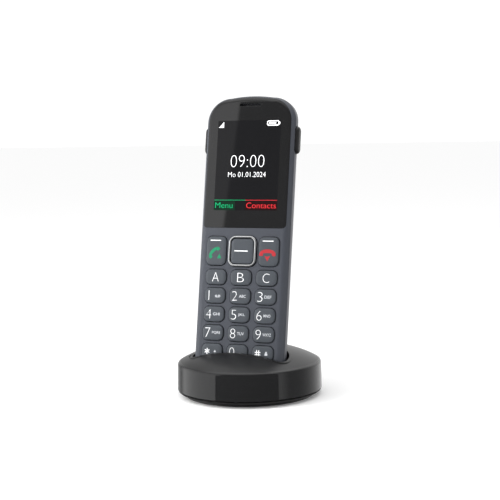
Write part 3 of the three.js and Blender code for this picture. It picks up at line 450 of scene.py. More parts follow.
@dataclass
class Wiring:
    """Short calls that add and link nodes in one tree."""

    tree: bpy.types.NodeTree

    def put(self, kind: str, **settings: object) -> bpy.types.Node:
        """Adds a node and sets its properties.

        Args:
            kind: the node's type.
            **settings: its properties and their values.

        Returns:
            The node.
        """
        node = self.tree.nodes.new(kind)
        for key, value in settings.items():
            setattr(node, key, value)
        return node

    def link(self, source: Socket, target: Socket) -> None:
        """Joins two sockets."""
        self.tree.links.new(source, target)

    def feed(self, target: Socket, value: Socket | float | tuple) -> None:
        """Gives a socket its value.

        Args:
            target: the socket.
            value: another socket to link, or a value to set.
        """
        if isinstance(value, bpy.types.NodeSocket):
            self.link(value, target)
        else:
            target.default_value = value

    def math(self, operation: str, a: Socket | float, b: Socket | float = 0.0) -> Socket:
        """Reckons with one or two values.

        Args:
            operation: the Math node's operation.
            a: its first value.
            b: its second value.

        Returns:
            The result.
        """
        node = self.put("ShaderNodeMath", operation=operation)
        self.feed(node.inputs[0], a)
        self.feed(node.inputs[1], b)
        return node.outputs[0]

    def times(self, a: Socket | float, b: Socket | float) -> Socket:
        """The product of two values."""
        return self.math("MULTIPLY", a, b)

    def plus(self, a: Socket | float, b: Socket | float) -> Socket:
        """The sum of two values."""
        return self.math("ADD", a, b)

    def minus(self, a: Socket | float, b: Socket | float) -> Socket:
        """The difference of two values."""
        return self.math("SUBTRACT", a, b)

    def ramp(
        self, value: Socket, low: float, high: float, to_low: float = 0.0, to_high: float = 1.0
    ) -> Socket:
        """Moves a value from one range to another, smoothly and clamped.

        Args:
            value: the value.
            low: start of its range.
            high: end of its range.
            to_low: start of the new range.
            to_high: end of the new range.

        Returns:
            The moved value.
        """
        node = self.put("ShaderNodeMapRange", interpolation_type="SMOOTHSTEP")
        self.link(value, node.inputs["Value"])
        labels = ("From Min", "From Max", "To Min", "To Max")
        for label, number in zip(labels, (low, high, to_low, to_high)):
            node.inputs[label].default_value = number
        return node.outputs["Result"]

    def mix(self, factor: Socket | float, a: Socket | tuple, b: Socket | tuple) -> Socket:
        """Mixes two colours.

        Args:
            factor: how much of the second one.
            a: the first colour.
            b: the second colour.

        Returns:
            The mixed colour.
        """
        node = self.put("ShaderNodeMix", data_type="RGBA", blend_type="MIX")
        self.feed(node.inputs["Factor"], factor)
        self.feed(node.inputs[6], a)
        self.feed(node.inputs[7], b)
        return node.outputs[2]

    def noise(self, vector: Socket, scale: Socket | float, detail: float = 3.0) -> Socket:
        """Noise over the piece.

        Args:
            vector: the place on the piece.
            scale: how fine it is.
            detail: how many finer layers it has.

        Returns:
            The noise, from 0 to 1.
        """
        node = self.put("ShaderNodeTexNoise")
        self.link(vector, node.inputs["Vector"])
        self.feed(node.inputs["Scale"], scale)
        node.inputs["Detail"].default_value = detail
        return node.outputs["Fac"]

    def place(self) -> Socket:
        """The piece's own coordinates, in metres."""
        return self.put("ShaderNodeTexCoord").outputs["Object"]


def moulded_grain_group() -> bpy.types.NodeTree:
    """Moulded plastic: an eroded grain, slow drifts of shade and a polish that varies with them."""
    group = new_group(
        "moulded_grain",
        {"Colour": (0.1, 0.1, 0.1, 1.0), "Shade Drift": 0.06, "Roughness": 0.5, "Polish Drift": 0.08,
         "Grain Scale": 3000.0, "Grain Contrast": 0.08},
        {"Colour": "NodeSocketColor", "Roughness": "NodeSocketFloat", "Height": "NodeSocketFloat"},
    )
    w = Wiring(group)
    given, out = group.nodes["in"].outputs, group.nodes["out"].inputs
    place = w.place()
    grain = w.noise(place, given["Grain Scale"], 2.0)
    cells = w.put("ShaderNodeTexVoronoi", feature="SMOOTH_F1")
    w.link(place, cells.inputs["Vector"])
    w.link(given["Grain Scale"], cells.inputs["Scale"])
    pits = w.times(cells.outputs["Distance"], 0.4)
    height = w.plus(w.times(grain, 0.6), pits)
    drift = w.minus(w.noise(place, 45.0, 4.0), 0.5)
    fleck = w.times(w.minus(grain, 0.5), given["Grain Contrast"])
    shade = w.plus(1.0, w.plus(w.times(drift, given["Shade Drift"]), fleck))
    tone = w.put("ShaderNodeHueSaturation")
    w.link(given["Colour"], tone.inputs["Color"])
    w.link(shade, tone.inputs["Value"])
    w.link(tone.outputs["Color"], out["Colour"])
    rough = w.plus(given["Roughness"], w.times(drift, given["Polish Drift"]))
    w.link(rough, out["Roughness"])
    w.link(height, out["Height"])
    return group


def handling_group() -> bpy.types.NodeTree:
    """Signs of use: hair scratches in all directions and soft smudges."""
    group = new_group(
        "handling_marks",
        {"Roughness": 0.1, "Scratches": 0.05, "Smudges": 0.05},
        {"Roughness": "NodeSocketFloat", "Marks": "NodeSocketFloat"},
    )
    w = Wiring(group)
    given, out = group.nodes["in"].outputs, group.nodes["out"].inputs
    place = w.place()
    warp = w.put("ShaderNodeTexNoise")
    w.link(place, warp.inputs["Vector"])
    warp.inputs["Scale"].default_value = 60.0
    stretched = w.put("ShaderNodeMapping")
    w.link(warp.outputs["Color"], stretched.inputs["Vector"])
    stretched.inputs["Scale"].default_value = (90.0, 4.0, 40.0)
    hair = w.noise(stretched.outputs["Vector"], 6.0, 1.0)
    line = w.ramp(w.math("ABSOLUTE", w.minus(hair, 0.5)), 0.0, 0.012, 1.0, 0.0)
    smudge = w.ramp(w.noise(place, 70.0, 5.0), 0.5, 0.75)
    scratched = w.times(line, given["Scratches"])
    marks = w.plus(scratched, w.times(smudge, given["Smudges"]))
    w.link(marks, out["Marks"])
    w.link(w.plus(given["Roughness"], marks), out["Roughness"])
    return group


def brushed_group() -> bpy.types.NodeTree:
    """Metal drawn in one direction, with stained patches."""
    group = new_group(
        "drawn_metal",
        {"Colour": (0.6, 0.6, 0.6, 1.0), "Roughness": 0.3, "Line Scale": 900.0, "Stain": 0.15},
        {"Colour": "NodeSocketColor", "Roughness": "NodeSocketFloat", "Height": "NodeSocketFloat"},
    )
    w = Wiring(group)
    given, out = group.nodes["in"].outputs, group.nodes["out"].inputs
    place = w.place()
    along = w.put("ShaderNodeMapping")
    w.link(place, along.inputs["Vector"])
    along.inputs["Scale"].default_value = (1.0, 1.0, 0.04)
    lines = w.noise(along.outputs["Vector"], given["Line Scale"], 2.0)
    patch = w.ramp(w.noise(place, 160.0, 4.0), 0.45, 0.75)
    stain = w.times(patch, given["Stain"])
    tone = w.put("ShaderNodeHueSaturation")
    w.link(given["Colour"], tone.inputs["Color"])
    w.link(w.minus(1.0, stain), tone.inputs["Value"])
    w.link(tone.outputs["Color"], out["Colour"])
    streaks = w.times(w.minus(lines, 0.5), 0.25)
    w.link(w.plus(given["Roughness"], w.plus(streaks, stain)), out["Roughness"])
    w.link(lines, out["Height"])
    return group


GROUPS = {
    "grain": moulded_grain_group(),
    "handling": handling_group(),
    "drawn": brushed_group(),
}


# ---- finishes


@dataclass(frozen=True)
class Finish:
    """What every surface finish shares."""

    name: str
    slot: str
    colour: tuple[float, float, float]

    def shader(self) -> tuple[Wiring, bpy.types.Node]:
        """A new material's wiring and its Principled shader."""
        material = bpy.data.materials.new(self.name)
        material.use_nodes = True
        w = Wiring(material.node_tree)
        return w, material.node_tree.nodes["Principled BSDF"]

    def group(self, w: Wiring, key: str, **values: float | tuple) -> bpy.types.Node:
        """Places a shared effect with this finish's own values.

        Args:
            w: the material's wiring.
            key: which effect.
            **values: values of its inputs, with a low line for each space.

        Returns:
            The group's node.
        """
        node = w.put("ShaderNodeGroup", node_tree=GROUPS[key])
        for label, value in values.items():
            node.inputs[label.replace("_", " ")].default_value = value
        return node

    def bump(
        self, w: Wiring, shader: bpy.types.Node, height: Socket, strength: float, depth: float
    ) -> None:
        """Feeds a height into the shader's normal.

        Args:
            w: the material's wiring.
            shader: its Principled shader.
            height: the height, from 0 to 1.
            strength: how much of it shows.
            depth: what a height of 1 is, in metres.
        """
        bump = w.put("ShaderNodeBump")
        bump.inputs["Strength"].default_value = strength
        bump.inputs["Distance"].default_value = depth
        w.link(height, bump.inputs["Height"])
        w.link(bump.outputs["Normal"], shader.inputs["Normal"])

    def material(self) -> bpy.types.Material:
        """The finish as a material; the same one each time."""
        return bpy.data.materials.get(self.name) or self.build()

    def build(self) -> bpy.types.Material:
        """Makes the material."""
        raise NotImplementedError


@dataclass(frozen=True)
class Plastic(Finish):
    """Moulded plastic or rubber, from matt to polished."""

    roughness: float = 0.5
    specular: float = 0.5
    grain: float = 3200.0
    grain_depth: float = 2.5e-5
    grain_strength: float = 0.25
    contrast: float = 0.12
    drift: float = 0.08
    coat: float = 0.0
    coat_roughness: float = 0.1
    sheen: float = 0.0
    wall_top: float = 0.0  # m, height under which the piece is more polished
    wall_blend: float = 0.0012  # m, stretch over which the polish changes
    wall_roughness: float = 0.0

    def build(self) -> bpy.types.Material:
        """Makes the moulded material from grain and handling marks."""
        w, shader = self.shader()
        grain = self.group(
            w, "grain", Colour=(*self.colour, 1.0), Shade_Drift=self.drift, Roughness=self.roughness,
            Polish_Drift=0.12 * self.roughness, Grain_Scale=self.grain, Grain_Contrast=self.contrast,
        )
        marks = self.group(w, "handling", Scratches=0.04, Smudges=0.04)
        w.link(grain.outputs["Roughness"], marks.inputs["Roughness"])
        w.link(grain.outputs["Colour"], shader.inputs["Base Color"])
        rough = marks.outputs["Roughness"]
        if self.wall_top > 0:
            split = w.put("ShaderNodeSeparateXYZ")
            w.link(w.place(), split.inputs["Vector"])
            change = self.wall_roughness - self.roughness
            start = self.wall_top - self.wall_blend
            rough = w.plus(rough, w.ramp(split.outputs["Z"], start, self.wall_top, change, 0.0))
        w.link(rough, shader.inputs["Roughness"])
        shader.inputs["Specular IOR Level"].default_value = self.specular
        shader.inputs["Coat Weight"].default_value = self.coat
        shader.inputs["Coat Roughness"].default_value = self.coat_roughness
        shader.inputs["Sheen Weight"].default_value = self.sheen
        self.bump(w, shader, grain.outputs["Height"], self.grain_strength, self.grain_depth)
        return bpy.data.materials[self.name]


@dataclass(frozen=True)
class Metal(Finish):
    """Drawn, plated or polished metal."""

    roughness: float = 0.3
    lines: float = 900.0
    stain: float = 0.12
    strength: float = 0.15

    def build(self) -> bpy.types.Material:
        """Makes the metal from drawn lines and stains."""
        w, shader = self.shader()
        drawn = self.group(
            w, "drawn", Colour=(*self.colour, 1.0), Roughness=self.roughness, Line_Scale=self.lines,
            Stain=self.stain,
        )
        shader.inputs["Metallic"].default_value = 1.0
        w.link(drawn.outputs["Colour"], shader.inputs["Base Color"])
        w.link(drawn.outputs["Roughness"], shader.inputs["Roughness"])
        self.bump(w, shader, drawn.outputs["Height"], self.strength, 1e-5)
        return bpy.data.materials[self.name]


@dataclass(frozen=True)
class Polished(Finish):
    """Polished window plastic: a black sheet with faint dust, hair scratches and smudges."""

    roughness: float = 0.012
    specular: float = 0.5

    def build(self) -> bpy.types.Material:
        """Makes the polished sheet."""
        w, shader = self.shader()
        marks = self.group(w, "handling", Roughness=self.roughness, Scratches=0.02, Smudges=0.008)
        dust = w.ramp(w.noise(w.place(), 2600.0, 2.0), 0.72, 0.8)
        dusty = tuple(min(1.0, c + 0.03) for c in self.colour)
        colour = w.mix(dust, (*self.colour, 1.0), (*dusty, 1.0))
        w.link(colour, shader.inputs["Base Color"])
        w.link(marks.outputs["Roughness"], shader.inputs["Roughness"])
        shader.inputs["Specular IOR Level"].default_value = self.specular
        waves = w.noise(w.place(), 55.0, 1.0)
        self.bump(w, shader, waves, 0.01, 4e-6)
        return bpy.data.materials[self.name]


@dataclass(frozen=True)
class Ink(Finish):
    """Printed or lit marks, with a fine screen of dots over them; a print given a glow has painted light.
    """

    glow: float = 0.0
    roughness: float = 0.4
    dots: float = 7000.0
    contrast: float = 0.1

    def build(self) -> bpy.types.Material:
        """Makes the ink, lit when it glows."""
        w, shader = self.shader()
        place = w.place()
        dot = w.put("ShaderNodeTexVoronoi", feature="F1")
        w.link(place, dot.inputs["Vector"])
        dot.inputs["Scale"].default_value = self.dots
        shade = w.ramp(dot.outputs["Distance"], 0.2, 0.9, 1.0, 1.0 - self.contrast)
        tone = w.put("ShaderNodeHueSaturation")
        tone.inputs["Color"].default_value = (*self.colour, 1.0)
        w.link(shade, tone.inputs["Value"])
        w.link(tone.outputs["Color"], shader.inputs["Base Color"])
        rough = w.ramp(dot.outputs["Distance"], 0.0, 1.0, self.roughness, 1.3 * self.roughness)
        w.link(rough, shader.inputs["Roughness"])
        if self.glow > 0:
            w.link(tone.outputs["Color"], shader.inputs["Emission Color"])
            shader.inputs["Emission Strength"].default_value = self.glow
            shader.inputs["Specular IOR Level"].default_value = 0.14
        return bpy.data.materials[self.name]


@dataclass(frozen=True)
class SolderMask(Finish):
    """A circuit board's lacquer over copper tracks."""

    def build(self) -> bpy.types.Material:
        """Makes the lacquer with tracks, pads and a weave under it."""
        w, shader = self.shader()
        place = w.place()
        tracks = w.put("ShaderNodeTexBrick")
        w.link(place, tracks.inputs["Vector"])
        tracks.inputs["Scale"].default_value = 260.0
        tracks.inputs["Mortar Size"].default_value = 0.02
        weave = w.noise(place, 2400.0, 1.0)
        track = w.times(tracks.outputs["Fac"], 0.5)
        copper = tuple(0.5 * c + 0.06 for c in self.colour)
        colour = w.mix(track, (*self.colour, 1.0), (*copper, 1.0))
        w.link(colour, shader.inputs["Base Color"])
        rough = w.ramp(weave, 0.3, 0.7, 0.2, 0.36)
        w.link(rough, shader.inputs["Roughness"])
        self.bump(w, shader, w.plus(track, w.times(weave, 0.2)), 0.3, 2e-5)
        return bpy.data.materials[self.name]


@dataclass(frozen=True)
class ShrinkWrap(Finish):
    """A cell's printed shrink film with a plain lighter band near one end."""

    band: tuple[float, float, float] = (0.35, 0.37, 0.36)
    band_low: float = 0.072
    band_high: float = 0.079

    def build(self) -> bpy.types.Material:
        """Makes the film; the band lies across the cell, so its edges follow the handset's lean."""
        w, shader = self.shader()
        split = w.put("ShaderNodeSeparateXYZ")
        turned_place = w.put("ShaderNodeMapping")
        w.link(w.place(), turned_place.inputs["Vector"])
        turned_place.inputs["Rotation"].default_value = (FRAMES.lean, 0, 0)
        w.link(turned_place.outputs["Vector"], split.inputs["Vector"])
        along = split.outputs["Z"]
        up = w.ramp(along, self.band_low, self.band_low + 2e-4)
        down = w.ramp(along, self.band_high, self.band_high + 2e-4, 1.0, 0.0)
        band = w.times(up, down)
        wrinkle = w.noise(w.place(), 320.0, 3.0)
        w.link(w.mix(band, (*self.colour, 1.0), (*self.band, 1.0)), shader.inputs["Base Color"])
        w.link(w.ramp(wrinkle, 0.3, 0.7, 0.16, 0.32), shader.inputs["Roughness"])
        self.bump(w, shader, wrinkle, 0.1, 4e-5)
        return bpy.data.materials[self.name]


CRADLE_SATIN = Plastic(
    "cradle_satin", "cradle_plastic", (0.009, 0.0092, 0.0097), roughness=0.34, grain_strength=0.05,
    wall_top=0.0178, wall_roughness=0.05,
)
CRADLE_MATT = Plastic(
    "cradle_matt", "cradle_underside", (0.009, 0.009, 0.0095), roughness=0.5, grain_strength=0.4
)
FACE_GRAIN = Plastic("face_grain", "face_plastic", (0.05, 0.055, 0.068), roughness=0.36, grain_strength=0.3)
BACK_GRAIN = Plastic(
    "back_grain", "back_plastic", (0.064, 0.068, 0.082), roughness=0.42, grain_strength=0.4
)
KEY_SATIN = Plastic("key_satin", "key_plastic", (0.053, 0.06, 0.07), roughness=0.34, grain_strength=0.2)
SIDE_KEY = Plastic("side_key_satin", "side_key_plastic", (0.011, 0.0112, 0.012), roughness=0.34)
WINDOW_BLACK = Polished("window_black", "window_gloss", (0.010, 0.010, 0.0105))
SCREEN_BLACK = Ink(
    "screen_black", "display_glass", (0.0095, 0.0095, 0.0105), glow=0.15, roughness=0.015, contrast=0.2
)
SCREEN_WHITE = Ink("screen_white", "display_glass", (0.95, 0.96, 0.97), glow=0.85)
SCREEN_GREEN = Ink("screen_green", "display_glass", (0.004, 0.3, 0.11), glow=0.75)
SCREEN_DARK_GREEN = Ink("screen_dark_green", "display_glass", (0.002, 0.016, 0.008), glow=0.5)
SCREEN_RED = Ink("screen_red", "display_glass", (0.55, 0.022, 0.028), glow=0.75)
SCREEN_DARK_RED = Ink("screen_dark_red", "display_glass", (0.012, 0.0012, 0.0016), glow=0.4)
# painted glow: the white key print glows a little, though no lamp lights the keys
KEY_WHITE = Ink("key_white", "key_plastic", (0.9, 0.91, 0.92), glow=0.1)
KEY_GREY = Ink("key_grey", "key_plastic", (0.62, 0.64, 0.67))
KEY_GREEN = Ink("key_green", "key_plastic", (0.004, 0.23, 0.1))
KEY_RED = Ink("key_red", "key_plastic", (0.42, 0.015, 0.023))
CHROME = Metal("bright_trim", "chrome_trim", (0.82, 0.83, 0.84), roughness=0.12, stain=0.02, strength=0.03)
SILICONE = Plastic("silicone_mat", "silicone", (0.08, 0.085, 0.095), roughness=0.6, sheen=0.2)
BOARD_GREEN = SolderMask("board_lacquer", "board", (0.012, 0.1, 0.045))
TIN = Metal("tinned_sheet", "tin", (0.6, 0.61, 0.62), roughness=0.28)
GOLD = Metal("gold_plate", "gold", (0.78, 0.6, 0.26), roughness=0.2, stain=0.06)
STEEL = Metal("zinc_steel", "steel", (0.48, 0.49, 0.51), roughness=0.34, stain=0.2)
SOCKET = Plastic("socket_matt", "socket_plastic", (0.016, 0.016, 0.017), roughness=0.5)
CELL_WRAP = ShrinkWrap("cell_film", "cell_wrap", (0.03, 0.17, 0.08))
SPEAKER = Plastic(
    "speaker_cloth", "speaker", (0.03, 0.03, 0.034), roughness=0.75, grain=1500.0, grain_strength=0.6
)
RUBBER = Plastic(
    "foot_rubber", "rubber", (0.014, 0.014, 0.015), roughness=0.72, specular=0.35, sheen=0.15
)


# ---- setting pieces in place


def settle(
    name: str, bm: Solid, body: str, finish: Finish, nodes: Sequence[str] = (),
    axes: Matrix = FRAMES.handset, sharp: float = 32.0,
) -> bpy.types.Object:
    """Turns a drawn piece into one that is dressed, shaded and rides on its body.

    Args:
        name: the piece's name.
        bm: its mesh in millimetres.
        body: the body that it moves with.
        finish: its finish.
        nodes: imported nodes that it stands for.
        axes: the axes that it is drawn in.
        sharp: angle in degrees past which an edge stays sharp.

    Returns:
        The finished object.
    """
    bmesh.ops.transform(bm, matrix=axes, verts=bm.verts)
    obj = as_object(name, bm)
    obj.data.shade_smooth()
    obj.data.set_sharp_from_angle(angle=math.radians(sharp))
    weighted = obj.modifiers.new("even_shading", "WEIGHTED_NORMAL")
    weighted.keep_sharp = True
    obj.data.materials.append(finish.material())
    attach(obj, body)
    if nodes:
        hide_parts(*nodes)
    LOG.info("%s: %d faces on %s", name, len(obj.data.polygons), body)
    return obj


def refined_copy(node: str, body: str, finish: Finish) -> None:
    """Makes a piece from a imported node's own shape, with joined faces and softened edges.

    Args:
        node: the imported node, which the piece stands for.
        body: the body that it moves with.
        finish: its finish.
    """
    edge, flat, corner = 0.12, 1.0, 40.0
    bm = bmesh.new()
    bm.from_mesh(frame["nodes"][node].data)
    bmesh.ops.transform(bm, matrix=FRAMES.table.inverted(), verts=bm.verts)
    bmesh.ops.remove_doubles(bm, verts=bm.verts, dist=10 * WELD)
    bmesh.ops.dissolve_limit(bm, angle_limit=math.radians(flat), verts=bm.verts, edges=bm.edges)
    obj = settle(f"{node}_piece", bm, body, finish, [node], FRAMES.table)
    soft = obj.modifiers.new("soft_edges", "BEVEL")
    soft.width = edge * MM
    soft.segments = 2
    soft.limit_method = "ANGLE"
    soft.angle_limit = math.radians(corner)
    obj.modifiers.move(1, 0)


def lettering(
    text: str, height: float, left: float, low: float, depth: float,
    width: float | None = None, weight: float = 0.0,
) -> Solid:
    """Raised lettering on a face of the handset.

    Args:
        text: what it says.
        height: height of a capital in millimetres.
        left: place of its left edge across the handset.
        low: place of its base line along the handset.
        depth: depth of the face under it.
        width: overall width; the letters' own when left out.
        weight: how far each stroke is thickened, as a share of the height.

    Returns:
        A thin closed bmesh.
    """
    curve = bpy.data.curves.new("lettering", "FONT")
    curve.body = text
    curve.offset = weight
    curve.extrude = 0.02  # any thickness will do: it is set below
    curve.resolution_u = 4
    obj = bpy.data.objects.new("lettering", curve)
    bpy.context.scene.collection.objects.link(obj)
    mesh = baked_mesh(obj)
    bm = bmesh.new()
    bm.from_mesh(mesh)
    bpy.data.meshes.remove(mesh)
    bpy.data.curves.remove(curve)
    bmesh.ops.remove_doubles(bm, verts=bm.verts, dist=SAME)
    xs = [v.co.x for v in bm.verts]
    ys = [v.co.y for v in bm.verts]
    tall = max(ys) - min(ys)
    scale = height / tall
    across = scale if width is None else width / (max(xs) - min(xs))
    x0, y0 = min(xs), min(ys)
    for v in bm.verts:
        thick = MARK_THICKNESS if v.co.z > 0 else 0.0
        v.co = Vector((left + (v.co.x - x0) * across, depth - thick, low + (v.co.y - y0) * scale))
    bmesh.ops.recalc_face_normals(bm, faces=bm.faces)
    return bm


def mark(outline: Outline, depth: float, thick: float = MARK_THICKNESS) -> Solid:
    """A thin raised shape printed on a face of the handset."""
    return plate(outline, depth - thick, depth)


# ---- handset form


@dataclass
class HandsetForm:
    """The handset's outer shape, which its shells, window and cover share."""

    top_corner: float = 12.5
    top_crown: float = 0.9
    bottom_corner: float = 9.0
    face_edge: float = 3.3
    side_depth: float = 3.0
    back_end: float = 9.0
    back_corner: float = 4.5
    corner_loss: float = 0.75  # of the width that the back has lost, taken off its corners
    half_width: float = field(init=False)
    low: float = field(init=False)
    high: float = field(init=False)
    depth: float = field(init=False)

    def __post_init__(self) -> None:
        """Reads the overall sizes from the shells' nodes."""
        front, rear = FRAMES.box("front_shell"), FRAMES.box("rear_shell")
        self.half_width = front[1].x
        self.low = front[0].z
        self.high = front[1].z
        self.depth = max(rear[1].y, FRAMES.box("battery_cover")[1].y)

    def outline(self, half: float, low: float, high: float, top: float, bottom: float) -> Outline:
        """The front view.

        Args:
            half: half its width.
            low: its lower end.
            high: its upper end.
            top: radius of its upper corners.
            bottom: radius of its lower corners.

        Returns:
            The points in order, as many each time.
        """
        steps, along = 14, (0.25, 0.4, 0.55, 0.7)
        shoulder = high - self.top_crown * half / self.half_width
        points = arc((half - bottom, low + bottom), bottom, -90, 0, steps)
        points += [Vector((half, low + (shoulder - low) * t)) for t in along]
        points += arc((half - top, shoulder - top), top, 0, 90, steps)
        inner = half - top
        rise = high - shoulder
        for i in range(1, steps):
            t = i / steps
            points.append(Vector((inner * (1 - 2 * t), shoulder + 4 * rise * t * (1 - t))))
        points += arc((top - half, shoulder - top), top, 90, 180, steps)
        points += [Vector((-half, low + (shoulder - low) * t)) for t in reversed(along)]
        points += arc((bottom - half, low + bottom), bottom, 180, 270, steps)
        return points

    def front_ring(self, depth: float) -> list[Vector]:
        """The outline at a depth on the rounded front edge, which draws it in.

        Args:
            depth: the depth, up to the edge's rounding.

        Returns:
            The ring of points.
        """
        r = self.face_edge
        drawn = r - math.sqrt(max(r * r - (r - depth) ** 2, 0.0))
        return at_depth(
            self.outline(
                self.half_width - drawn, self.low + drawn, self.high - drawn,
                self.top_corner - drawn, self.bottom_corner - drawn,
            ),
            depth,
        )

    def back_ring(self, turn: float, inset: float) -> list[Vector]:
        """The outline on the curved back.

        Args:
            turn: 0 at the straight side and 90 at the back's ridge, in degrees.
            inset: how far the form is drawn in.

        Returns:
            The ring of points.
        """
        swing = math.radians(turn)
        half = (self.half_width - inset) * math.cos(swing)
        depth = self.side_depth + (self.depth - inset - self.side_depth) * math.sin(swing)
        r = self.back_end - inset
        start = self.depth - inset - r
        drawn = 0.0
        if depth > start:
            drawn = r - math.sqrt(max(r * r - (depth - start) ** 2, 0.0))
        high = self.high - inset - drawn
        low = self.low + inset + drawn
        lost = self.corner_loss * (self.half_width - inset - half)
        softest = min(self.back_corner, 0.9 * half)
        top = max(self.top_corner - inset - lost, softest)
        bottom = max(self.bottom_corner - inset - lost, softest)
        return at_depth(self.outline(half, low, high, top, bottom), depth)

    def back_solid(self, front: float, inset: float) -> Solid:
        """The form behind a depth.

        Args:
            front: the depth.
            inset: how far the form is drawn in.

        Returns:
            The closed bmesh.
        """
        rings = []
        steps, straight = 3, 0.4
        turns = (8, 15, 22, 29, 36, 43, 50, 56, 62, 68, 74, 79, 84, 87.5)
        if front < self.face_edge and inset == 0:
            span = self.face_edge - front
            rings += [self.front_ring(front + span * i / steps) for i in range(steps + 1)]
        else:
            half, low, high = self.half_width - inset, self.low + inset, self.high - inset
            plain = self.outline(half, low, high, self.top_corner - inset, self.bottom_corner - inset)
            rings += [at_depth(plain, front), at_depth(plain, self.side_depth + straight)]
        rings += [self.back_ring(turn, inset) for turn in turns]
        return loft(rings)

    def front_solid(self, back: float) -> Solid:
        """The form in front of a depth, with its rounded edge.

        Args:
            back: the depth.

        Returns:
            The closed bmesh.
        """
        steps = 8
        rings = [self.front_ring(back)]
        first = math.asin(1 - back / self.face_edge)
        for i in range(1, steps + 1):
            turn = first + (math.pi / 2 - first) * i / steps
            rings.append(self.front_ring(self.face_edge * (1 - math.sin(turn))))
        return loft(rings)


FORM = HandsetForm()


# ---- cradle


